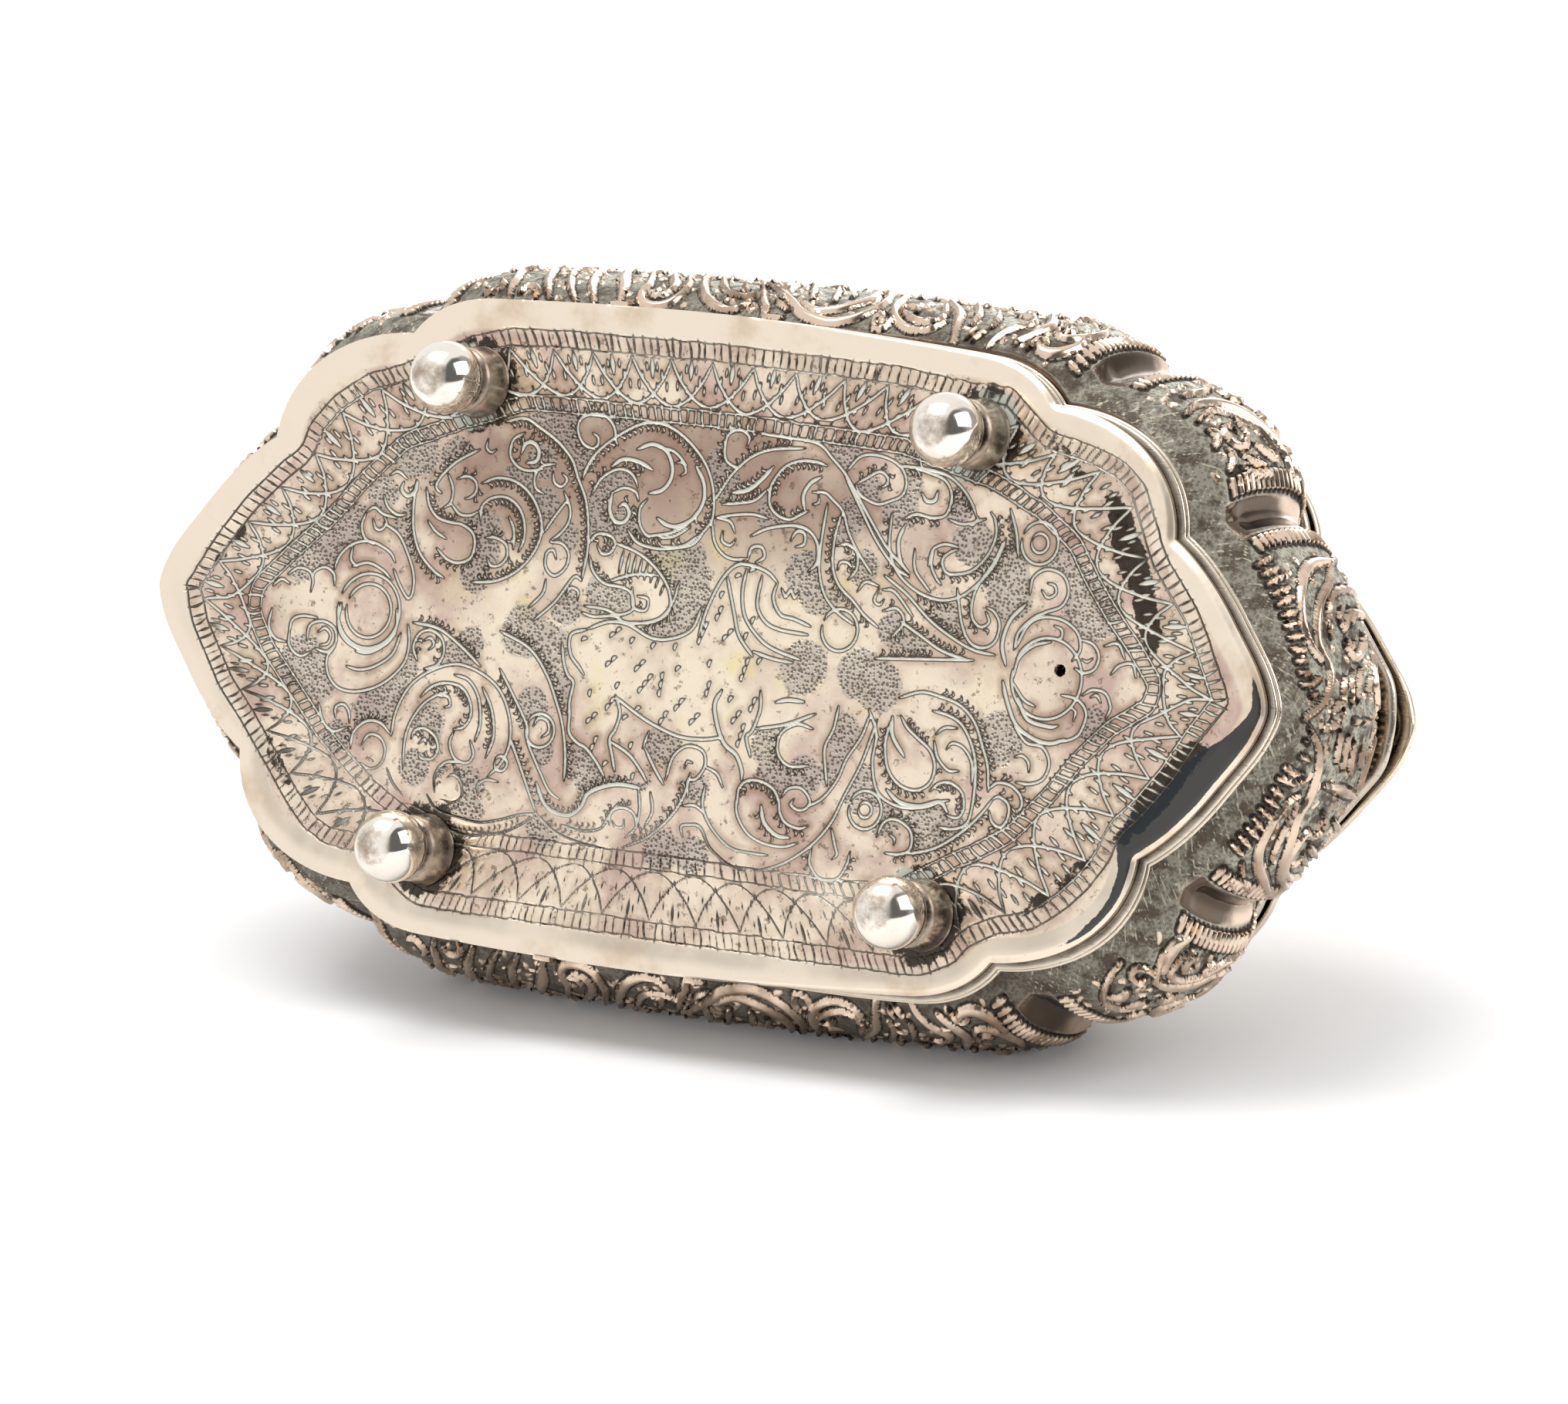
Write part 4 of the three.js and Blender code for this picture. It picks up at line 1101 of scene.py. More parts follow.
def read_lines(text):
    """Each written line with whether it is cut heavier."""
    for row in text.strip().splitlines():
        yield read_line(row.lstrip("*")), row.startswith("*")


# Front middle of the base, where cuts are finer: below this y, and within this x
FINE_BELOW, FINE_WITHIN = -15, 34


def finer(point, share):
    """A share for cuts in the front middle of the base, and 1 for all others."""
    return share if point[1] < FINE_BELOW and abs(point[0]) < FINE_WITHIN else 1.0


def ladder(canvas, chance, outer, inner, width, pitch):
    """Two long lines with short uneven ticks between them, as a graver walks along."""
    for path in (outer, inner):
        heading = unit(np.gradient(path, axis=0))
        wave = path + heading[:, ::-1] * chance.normal(0, 0.05, (len(path), 1))
        for start in range(0, len(path) - 1, 16):
            canvas.line(wave[start : start + 18 : 2], width * 0.6, 0.5, 0.7)
    total = along(outer)[-1]
    scale = along(inner)[-1] / total
    place = 0.0
    while place < total:
        slant = chance.normal(0.1, 0.12)
        a = place_on(outer, [place])[0]
        b = place_on(inner, [min((place + slant) * scale, along(inner)[-1])])[0]
        over = chance.uniform(-0.05, 0.22, 2)
        a, b = a + (a - b) * over[0], b + (b - a) * over[1]
        middle = (a + b) / 2 + chance.normal(0, 0.1, 2)
        fine = width * finer(middle, 0.75)
        canvas.line([a, middle, b], fine * chance.uniform(0.6, 1.05), 0.9, 0.3)
        place += pitch * chance.uniform(0.78, 1.25)


# Steps round a closed path: +X tip, back, -X tip, front and tip again
TURNS = np.arange(5)

# Length of border that one arch takes where the feet aren't written
ARCH_PITCH = 5.6


def arch_band(canvas, chance, outer, inner, width):
    """Interlaced arches between two closed paths, with wedges and tear-shaped ticks."""
    marks_outer, marks_inner = quarter_marks(outer), quarter_marks(inner)

    def spot(t, depth):
        a = place_on(outer, np.interp(t, TURNS, marks_outer))
        b = place_on(inner, np.interp(t, TURNS, marks_inner))
        return a + (b - a) * np.asarray(depth)[:, None]

    def t_of(x, top):
        grid = np.linspace(0, 4, 1601)
        points = place_on(outer, np.interp(grid, TURNS, marks_outer))
        wanted = (points[:, 1] > 20) if top else (points[:, 1] < -20)
        return grid[wanted][np.argmin(np.abs(points[wanted, 0] + x))]

    feet = sorted([t_of(x, True) for x in TOP_FEET] + [t_of(x, False) for x in BOTTOM_FEET])
    full = []
    for a, b in zip(feet, [*feet[1:], feet[0] + 4]):
        gap = np.diff(np.interp(np.mod([a, b], 4), TURNS, marks_outer))[0] % marks_outer[-1]
        parts = max(1, round(gap / ARCH_PITCH))
        full += [a + (b - a) * k / parts for k in range(parts)]
    count = len(full)
    round_again = full + [t + 4 for t in full[:2]]
    share = np.linspace(0, 1, 13)
    for a, b in zip(full, round_again[2:]):
        t = np.mod(a + (b - a) * share, 4)
        sway = chance.normal(0, 0.025)
        depth = (0.9 + sway) * np.sin(math.pi * share) ** 0.75 + 0.04
        for part in (slice(0, 7), slice(6, 13)):
            points = spot(t[part], depth[part])
            if np.hypot(*np.diff(points, axis=0).T).max() < 4:
                canvas.line(points, width * finer(points.mean(0), 0.62), 0.8, 0.5)
    for a, b in zip(full, round_again[1 : count + 1]):
        wide = np.hypot(*(spot([b % 4], [0.0]) - spot([a % 4], [0.0]))[0])

        def tick(share_across, depth, reach, size):
            t = (a + (b - a) * share_across) % 4
            points = spot([t, t], [depth, depth + reach])
            if np.hypot(*(points[1] - points[0])) < 3.2:
                thin = finer(points.mean(0), 0.62)
                canvas.line(points + chance.normal(0, 0.06, (1, 2)), size * thin, 0.9, 0.25)

        tick(0.5, 0.0, 0.42, width * 1.7)
        for side in (-1, 1):
            for j, depth in enumerate((0.12, 0.3, 0.48)):
                across = 0.5 + side * (0.13 + 0.11 * j) * 5.4 / max(wide, 4)
                tick(across, depth + chance.normal(0, 0.02), 0.17, width * 1.5)
            tick(0.5 + side * 0.12, 0.55, 0.15, width * 1.4)
            tick(0.5 + side * 0.3, 0.83, 0.12, width * 1.3)
        tick(0.5, 0.72, 0.15, width * 1.4)


def closed_path(text, step=0.5):
    """A closed path through written points, anticlockwise from its +X tip, corners softened."""
    p = read_line(text)
    path = place_on(p, np.arange(0, along(p)[-1], step))
    for _ in range(2):
        path = (np.roll(path, 1, axis=0) + 2 * path + np.roll(path, -1, axis=0)) / 4
    x, y = path.T
    if np.sum(x * np.roll(y, -1) - y * np.roll(x, -1)) < 0:
        path = path[::-1]
    path = np.roll(path, -np.argmax(path[:, 0]), axis=0)
    return np.concatenate([path, path[:1]])


def quarter_marks(path):
    """Distances along a closed path to its +X tip, back, -X tip, front and tip again."""
    run = along(path)
    x, y = path.T
    back, front = np.abs(x) + FAR**2 * (y < 0), np.abs(x) + FAR**2 * (y > 0)
    return np.array([0, run[np.argmin(back)], run[np.argmin(x)], run[np.argmin(front)], run[-1]])


def half_moons(canvas, chance, part, odd, width):
    """Small half-moon cuts scattered over the beast's coat."""
    xs, ys = canvas.x[part[0]], canvas.y[part[1]]
    laid = np.full((1, 2), FAR**2)
    for i, j in chance.integers((0, 0), (len(xs), len(ys)), (1500, 2)):
        at = np.array([xs[i], ys[j]])
        near = np.hypot(*(laid - at).T).min()
        if not odd[i, j] or near < 2.3 or canvas.read(canvas.cut, at[0], at[1]) < 0.5:
            continue
        laid = np.concatenate([laid, [at]])
        angle = 2.1 + chance.normal(0, 0.35)
        run = np.array([math.cos(angle), math.sin(angle)])
        for k in range(chance.integers(1, 4)):
            at = at + run * 0.92 * (k > 0)
            if canvas.read(canvas.cut, at[0], at[1]) > 0.3:
                canvas.moon(at, angle, 1.35 * width)


def commas(canvas, chance, text, width):
    """Rows of short curved cuts that follow the longer lines where there is room."""
    for points, _ in read_lines(text):
        path = curve_through(points)
        run = along(path)
        if run[-1] < 5 or chance.random() < 0.35:
            continue
        side = 1 if chance.random() < 0.5 else -1
        row = shifted(path, 0.62 * side)
        heading = unit(np.gradient(path, axis=0))
        for place in np.arange(1.0, run[-1] - 0.6, 0.82):
            k = np.searchsorted(run, place)
            at = row[k]
            if canvas.read(canvas.cut, at[0], at[1]) < 0.3:
                continue
            across = np.array([-heading[k][1], heading[k][0]]) * side
            lean = heading[k] * 0.35
            arc = [at - across * 0.3 - lean, at + heading[k] * 0.12, at + across * 0.3 - lean * 0.3]
            canvas.line(arc, width * 0.7, 0.4, 0.25)


# Round cuts as middle x,y and radius, seen from below
ROUND_CUTS = (
    (-42.2, -0.5, 4.0), (-42.2, -0.5, 2.9), (43, 0.8, 4.2), (17.3, 3.3, 2.2), (40.3, 14.6, 2.2),
    (40.3, 14.6, 1.0), (-23, -15, 0.8), (-18.5, -11, 1.8), (23, -15, 2.0), (23, -15, 0.8),
)

# Widths of heavy lines and of the beast's own lines against a plain line
HEAVY, BEAST_LINE = 1.45, 1.1

# Width of the outer ladder, and half the width of the inner one
LADDER_WIDE, INNER_HALF = 1.8, 0.8


def engraving(sizes):
    """The whole engraving of the base on one canvas, written as it is seen from below."""
    canvas = Canvas((-72, -37), (72, 37), 0.1)
    chance = np.random.default_rng(ENGRAVING_SEED)
    width = sizes.cut_width / MM
    leaves = (UPPER_LEFT, LOWER_LEFT, UPPER_MIDDLE, LOWER_MIDDLE, UPPER_RIGHT)
    for region in (LEFT_ROSETTE, *leaves, RIGHT_ROSETTE, LOWER_RIGHT):
        for points, heavy in read_lines(region):
            canvas.line(points, width * (HEAVY if heavy else 1.0))
    part, odd = canvas.wipe(curve_through(read_line(BEAST_BODY)))
    for points, heavy in read_lines(BEAST):
        canvas.line(points, width * (HEAVY if heavy else BEAST_LINE))
    half_moons(canvas, chance, part, odd, width)
    angle = np.linspace(0.4, 6.4, 26)
    for x, y, radius in ROUND_CUTS:
        canvas.line(np.stack([-x + radius * np.cos(angle), y + radius * np.sin(angle)], 1), width)
    for spot in PUNCHED.split():
        x, y, radius = (float(v) for v in spot.split(","))
        canvas.flood((-x, y), 0.6 + radius * 1.9)
    canvas.ground[part][odd] = 0
    for region in (*leaves, LOWER_RIGHT):
        commas(canvas, chance, region, width)
    outer, middle = closed_path(OUTER_LADDER), closed_path(INNER_LADDER)
    inside, around = shifted(outer, LADDER_WIDE), shifted(middle, -INNER_HALF)
    ladder(canvas, chance, outer, inside, width, 1.0)
    ladder(canvas, chance, around, shifted(middle, INNER_HALF), width, 1.05)
    arch_band(canvas, chance, inside, around, width)
    return canvas


# Stains as middle x,y, half length and width, turn and strength, seen from below
BASE_STAINS = (
    (51.5, 14.0, 6.5, 1.9, -1.05, 1.0), (54.0, 8.5, 4.5, 1.6, -1.2, 1.0),
    (49.5, 18.0, 3.5, 1.5, -0.9, 0.8), (58.3, -9.2, 8.0, 1.8, 0.93, 0.95),
    (47.0, -20.5, 6.0, 1.0, 0.75, 0.6), (42.0, 24.0, 5.0, 1.0, -0.7, 0.55),
    (-61.0, 5.0, 5.0, 0.8, 0.9, 0.5), (-52.0, -17.5, 5.0, 1.0, -0.9, 0.5),
)

# Vent hole of the right rosette: its middle, and the radii between which its edge slopes
VENT, VENT_EDGE = (-44.5, 1.8), (0.62, 0.42)

# Painted dark reflection in the border: places along Y, and its reach from the edge there
REFLECTED_AT = (-27, -24, -18, -15.5, -12, -6, -2.5, 0, 4)
REFLECTED_REACH = (1.3, 2.0, 2.4, 3.4, 5.2, 5.2, 3.4, 2.4, 1.3)

# Solder beside the collars: side of the foot in x and y, seen from below, and facing
SOLDER_RUNS = ((1, 1, 4.3), (1, 1, 0.9), (-1, 1, 4.6), (-1, 1, 2.6), (1, -1, 2.2))


class SILVERBOX_OT_base(bpy.types.Operator):
    """Makes the engraved base sheet."""

    bl_idname = "silver_box.base"
    bl_label = "Engraved base"

    def execute(self, context):
        sizes = context.scene.silver_box_sizes
        outline = Outline(sizes, 0.2)
        border = sizes.border_width / MM
        upper = outline.row(0, 0, 0)[: len(outline.plain) // 2 + 1, :2][::-1]
        upper = upper * (1 - edge_inset(upper[:, :1]) / (outline.long, outline.wide))
        half = upper[:, 1].copy()
        half[[0, -1]] = 0.02
        across = np.linspace(-1, 1, 401)
        px, py = np.repeat(upper[:, :1], len(across), 1), half[:, None] * across[None, :]

        canvas = engraving(sizes)
        edge = distance_to_outline(outline, px, py)
        vent = np.hypot(px - VENT[0], py - VENT[1])
        inner = smooth(border - 0.3, border + 0.3, edge)
        rim = smooth(border + 0.1, border - 0.2, edge) * smooth(0.3, 0.7, edge / border)
        clean = smooth(-25, -12, py - 0.1 * px)
        fields = {
            "cut": canvas.read(canvas.cut, px, py),
            "ground": canvas.read(canvas.ground, px, py),
            "inner": inner,
            # The vent's pit is painted dark in the tarnish field, as the shade inside the hole
            "tarnish": np.maximum(base_tarnish(px, py), smooth(0.75, 0.5, vent)),
            "film": smooth(1.0, 0.35, np.hypot((px + 2) / 42, (py - 2) / 16)),
            "dim": 0.62 * smooth(1.3, 0.5, np.hypot((px - 8) / 34, (py - 15) / 9)) * inner,
            "filled": 0.25 + 0.6 * clean * smooth(border + 1, border + 4, edge),
            "edge": rim * smooth(6, -26, py),
            "mirror": painted_border_reflection(px, py, edge),
            "solder": foot_solder(px, py),
        }
        sunk = 0.1 * smooth(border - 0.5, border + 0.4, edge)
        inset = edge_inset(px)
        bevel = 0.5 * smooth(inset * 2.1, inset * 0.8, edge) ** 1.5
        groove = sizes.cut_depth / MM * smooth(0.18, -0.16, fields["cut"])
        pit = (PLATE_TOP - PLATE_BOTTOM - 0.1) * smooth(*VENT_EDGE, vent)
        sheet = np.stack([px, py, PLATE_BOTTOM + sunk + bevel + groove + pit], -1)
        points, faces = self.closed(sheet)
        fields = with_rest(fields, len(points) - px.size)
        add_piece("Engraved_base", points, faces, "engraved_silver", "box", "base_plate", fields)
        return {"FINISHED"}

    @staticmethod
    def closed(sheet):
        """Points and faces of the sheet with its edge and its flat inner side."""
        rows, columns = sheet.shape[:2]
        points, faces = [sheet.reshape(-1, 3)], [grid_faces(rows, columns, False)]
        side = np.arange(rows)
        loop = np.concatenate([side * columns, (side[::-1] + 1) * columns - 1])
        rim = points[0][loop]
        low, count = rim[0, 2], rows * columns
        for share in (0.25, 0.5, 0.75, 1.0):
            level = rim.copy()
            level[:, 2] = low + (PLATE_TOP - low) * share
            points.append(level)
            now = count + np.arange(len(loop))
            faces.append(np.stack([loop, now, np.roll(now, -1), np.roll(loop, -1)], 1))
            loop, count = now, count + len(now)
        bottom, top = loop[:rows], loop[rows:][::-1]
        faces.append(np.stack([bottom[:-1], top[:-1], top[1:], bottom[1:]], 1))
        return np.concatenate(points), faces


def edge_inset(px):
    """How far the base stops inside its moulding: it isn't quite in the middle of it."""
    return 0.05 + 0.9 * smooth(10, -60, px)


def distance_to_outline(outline, px, py):
    """Distance of places inside the base to its edge, worked out on a coarse grid."""
    canvas = Canvas((-71, -36), (71, 36), 0.4)
    gx, gy = np.meshgrid(canvas.x, canvas.y, indexing="ij")
    edge = outline.plain[::2]
    best = np.full(gx.shape, np.inf)
    for start in range(0, len(edge), 40):
        part = edge[start : start + 40]
        gap = (gx[..., None] - part[:, 0]) ** 2 + (gy[..., None] - part[:, 1]) ** 2
        best = np.minimum(best, gap.min(-1))
    return canvas.read(np.sqrt(best), px, py)


def base_tarnish(px, py):
    """Dark tarnish on the base, seen from below: round the feet and along the right end."""
    x = -px
    dark = np.zeros_like(px)
    for fx in (-FOOT_X, FOOT_X):
        for fy in (-FOOT_Y, FOOT_Y):
            dark = np.maximum(dark, 0.8 * smooth(6.6, 4.0, np.hypot(x - fx, py - fy)))
    for cx, cy, rx, ry, turn, amount in BASE_STAINS:
        u = (x - cx) * math.cos(turn) + (py - cy) * math.sin(turn)
        v = -(x - cx) * math.sin(turn) + (py - cy) * math.cos(turn)
        dark = np.maximum(dark, amount * smooth(1.25, 0.55, np.hypot(u / rx, v / ry)))
    return dark


def painted_border_reflection(px, py, edge):
    """Painted reflection: dark room that the bent border mirrors near its right tip, painted into its
    colour, seen from below.
    """
    inward = np.interp(py, REFLECTED_AT, REFLECTED_REACH)
    return smooth(1.1, 1.5, edge) * smooth(inward + 0.5, inward - 0.5, edge) * smooth(41, 44, -px)


def foot_solder(px, py):
    """Pale solder that ran out beside the collars of the feet."""
    spread = np.zeros_like(px)
    for side_x, side_y, facing in SOLDER_RUNS:
        u, v = -px - side_x * FOOT_X, py - side_y * FOOT_Y
        gap = np.hypot(u, v)
        turn = np.abs((np.arctan2(v, u) - facing + math.pi) % (2 * math.pi) - math.pi)
        band = smooth(6.4, 5.0, gap + 1.1 * turn) * smooth(1.0, 0.7, turn)
        spread = np.maximum(spread, 0.68 * band)
    return spread


class SILVERBOX_OT_mouldings(bpy.types.Operator):
    """Makes the plain rings of the body: base moulding, rolled rim, rim wire and bezel."""

    bl_idname = "silver_box.mouldings"
    bl_label = "Body mouldings"

    def execute(self, context):
        outline = Outline(context.scene.silver_box_sizes, 0.45)
        low = PLATE_TOP + 0.1
        hidden = -0.75 * smooth(-48, -18, outline.plain[:, 0] + 0.5 * outline.plain[:, 1])
        edge = [(PLATE_TOP, -1.5, -1.5), (low, -1.4, -1.4), (low + 0.02, -0.75, -0.75)]
        edge += half_round(low + 0.02, low + 0.55, (-0.7, -0.7), (-0.05, -0.05))
        edge += [(low + 0.58, -0.65, -0.65), (low + 0.64, -0.6, -0.6)]
        edge += half_round(low + 0.64, WALL_BOTTOM - 0.2, (-0.5, -0.5), (0.12, 0.12))
        edge += [(WALL_BOTTOM - 0.16, -0.5, -0.5), (WALL_BOTTOM, -0.55, -0.55)]
        edge = [(z, tip + hidden, side + hidden) for z, tip, side in edge]
        edge += [(WALL_BOTTOM, -2.9, -2.9), (PLATE_TOP, -2.9, -2.9)]
        self.make(outline, "Base_moulding", edge, "base_edge_moulding")

        roll = [(WALL_TOP, -1.4, -1.2)]
        roll += half_round(WALL_TOP + 0.1, ROLL_TOP, (-1.1, -1.1), (1.2, -0.2), 0.7, 11)
        roll += [(ROLL_TOP, -2.6, -2.6), (WALL_TOP, -2.6, -2.6)]
        self.make(outline, "Rim_roll", roll, "body_rim_roll", 1.3, 0.25)

        wire = half_round(ROLL_TOP, RIM_TOP, (-1.0, -1.0), (-0.75, -0.75), 0.5, 5)
        wire += [(RIM_TOP, -4.8, -4.8), (ROLL_TOP, -4.8, -4.8)]
        self.make(outline, "Rim_wire", wire, "body_rim_wire")

        drops = ((0.25, 3.9), (0.07, 3.97), (0, 4.15), (0, 4.45), (0.07, 4.63), (0.25, 4.7))
        bezel = [(BEZEL_TOP - drop, -inward, -inward) for drop, inward in drops]
        bezel = [(RIM_TOP, -3.9, -3.9), *bezel, (RIM_TOP, -4.7, -4.7)]
        self.make(outline, "Bezel", bezel, "body_bezel")
        return {"FINISHED"}

    @staticmethod
    def make(outline, name, section, node, blunt=0.0, dull=0.0):
        """A plain ring, dark in the grooves of its section."""
        out = np.array([np.min(side) for _, _, side in section])
        groove = np.maximum(np.roll(out, 2), np.roll(out, -2)) - out
        tarnish = np.repeat(np.clip(2.2 * groove, dull, 0.9), len(outline.plain))
        add_moulding(name, section, outline, "box", node, blunt, tarnish)


# Swell of the wall: share of its height, and share of the whole bulge there
WALL_RISE_SHARES = [0, 0.1, 0.28, 0.5, 0.7, 0.86, 1]
WALL_BULGE_SHARES = [0, 0.42, 0.8, 1, 0.98, 0.66, 0]


def wall_profile(sizes, rise):
    """Outward place of the wall at a share of its height, at the tips and at the sides."""
    knots = np.stack([WALL_RISE_SHARES, WALL_BULGE_SHARES], 1)
    curve = curve_through(knots, 0.01)
    bulge = np.interp(rise, curve[:, 0], curve[:, 1])

    def swell(top, most):
        return -0.3 + rise * (0.3 - top) + bulge * (most + (0.3 + top) / 2)

    return swell(1.3, sizes.tip_bulge / MM), swell(0.9, sizes.side_bulge / MM)


# Raised strips of the wall's panels: width first, then places as x,height in millimetres,
# with x from the panel's left cusp as it is seen from outside

END_PANEL = """
1.35 7.3,17 7.8,14 8.1,11 9.3,8 11.3,6 13.8,5.2 15.8,6 16.8,7
1.1 6.8,17.5 8.3,14.5 10.3,12 11.8,9.3 13.3,8 15.3,7.3 16.6,7.8 17.8,8.3 19.8,7 21.1,5 22.1,3
0.7 10.3,19.5 10.6,14.5 11.3,12 12.8,10.3 14.8,9.9
0.7 12.2,14.9 13.4,13.9 14.1,13 13.4,12.2 12.6,12.8
0.8 12.4,19 12.6,16.2 13.6,14.8
0.9 14.2,17 15.2,16.7 16.2,15.4 16.4,13.6 15.5,12.5
0.6 15,14.8 15.6,13.9 15,13
0.7 17.9,18 18.6,16.4 19.6,15.3
0.6 17.3,15 18.6,13.6 20.2,12.6
0.6 17.6,12.9 19,11.6 20.6,11
0.6 18.2,10.8 19.6,9.8 20.8,9.3
0.7 20.3,9.5 21,8 21.6,7.2
0.7 22.3,9 22.6,7 22.9,6.2
0.7 25.7,18 25,16.4 24,15.3
0.6 26.3,15 25,13.6 23.4,12.6
0.6 26,12.9 24.6,11.6 23,11
0.6 25.4,10.8 24,9.8 22.8,9.3
0.5 21.8,16.2 21.8,13.8
0.5 21.8,13.2 21.8,11.4
1.0 27.6,10.7 27.7,14 28.1,17 28.8,21
0.9 29.8,13 30.4,14.3 31.5,14.3 32.1,13 31.8,11.5 33.3,11 35.3,12 36.6,14.5 37.1,18.5
0.8 32.9,13.5 33.6,15.5 34.2,16.9
0.6 33.7,13.2 34.6,15 35.2,16.4
0.6 30.4,16 31.2,18 32.4,19.6
1.25 22.8,4 24.3,6.5 26.3,8.3 28.8,9.3 30.3,8.8 32.3,9.3 34.8,11 36.8,13.5 38.3,17 38.9,20
1.3 28.8,7.3 29.8,5.8 31.8,5 34.3,5.7 36.1,7.8 37.3,10.5 38.8,14 39.8,18
0.5 29.1,7.4 30.3,7.6 31.8,7.3 33.8,7.8 35.3,9
0.6 27,6.5 27.1,5 27.8,4.2 28.1,5.3 27.6,6.8
0.7 38.3,7.6 39,10.2
0.7 38.6,5.6 39.6,8.4
0.6 36.6,5.2 37.7,7
0.6 18.5,6.3 18.9,4.6
0.6 19.8,5.4 20,4
0.6 24.3,5 24,3.9
0.6 25.7,6.2 25.5,4.4
0.9 7.5,21.6 9.5,19.6 10.9,20.6 10.3,21.9 9.3,21.3
0.9 14,21.8 16,19.8 18.6,19.3 20.4,20.8 19.6,22 18.6,21.2
0.9 29.5,21.8 27.5,19.8 24.9,19.3 23.1,20.8 23.9,22 24.9,21.2
0.9 36.1,21.6 34.1,19.6 32.7,20.6 33.3,21.9 34.3,21.3
"""

BACK_SHOULDER = """
1.35 11.5,3.8 11.1,6 11.5,9 12.8,11.8 15,13.8 17,15 19.5,15.4
0.8 13,4 12.4,6.5 13.1,9 14.5,11 15.8,12.5 17.6,13.2
0.8 15.4,7.9 14.6,7.2 15,6.2 16.1,6.1 16.9,7 16.9,8.4 15.9,9.4 14.4,9.3
1.1 14.3,4.3 15.2,5 16,4
1.0 16.8,5 17.8,5.4 18.6,4.3
0.7 17.6,6.6 18.6,8.2 19,10.2
0.7 18.8,6 19.6,8 19.8,10.6
0.6 16.9,9.6 17.8,11 18.6,12.6
0.9 8.6,14.8 9.4,13.2 10.8,13.2 11.3,14.6 10.4,15.6
0.7 9.2,11.6 9.6,9 9.4,6
0.9 7.5,17.6 9,19.6 11.8,20.4 14,19.2 14.4,17.4 13.2,16.4 12,17.2 12.5,18.2
0.8 15.5,21 15.9,18.6 17.3,16.9 19.3,17.6 19.2,19.4 17.9,19.6
0.7 7.4,21.2 8.6,21.9 10.2,21.8
"""

FRONT_SHOULDER = """
0.9 3.9,18.5 4.4,15 5.4,13.2 5.9,12.2 4.9,11.8 4.4,12.8
1.1 5.5,17.5 5.9,14.2 7.2,12 8.2,9.5 8.4,7 7.2,5.2 5.7,4.3
0.8 5.2,13.6 6.4,11.5 7.2,9 6.7,7 5.2,6.7 4,7.5
1.0 4.4,8.9 5,8.2 6,8.6 5.6,9.4
2.1 3.4,5.9 4.4,5.1 5.8,5.2 6.9,5.9
0.8 8.1,6.2 7.9,4.5 8.8,3.5 9.7,4 9.5,5.5 8.8,5
0.9 8.6,11.2 9.6,11.8 10.4,11 9.8,10.1
0.8 11.1,9.7 12.7,9.5 13.8,8.5 14.1,6.5 13.3,4.5 11.6,2.9 9.6,2.3
1.2 11,8.6 12,9.2 12.8,8.4
1.3 10.9,5.2 12.1,6.2 13,5.2
0.8 8.9,15.8 9.4,13.9 11.2,13 13,13.9 13.3,15.9 11.9,17 10.7,16.2 11.3,15
0.8 6.5,20.6 7.6,18.8 9.6,18.2 11.9,18.7 13.9,18.4
0.8 8.5,21.4 10.3,20.4 12.6,20.7 14,21.6
0.6 12.6,12.4 14.2,11.2
"""

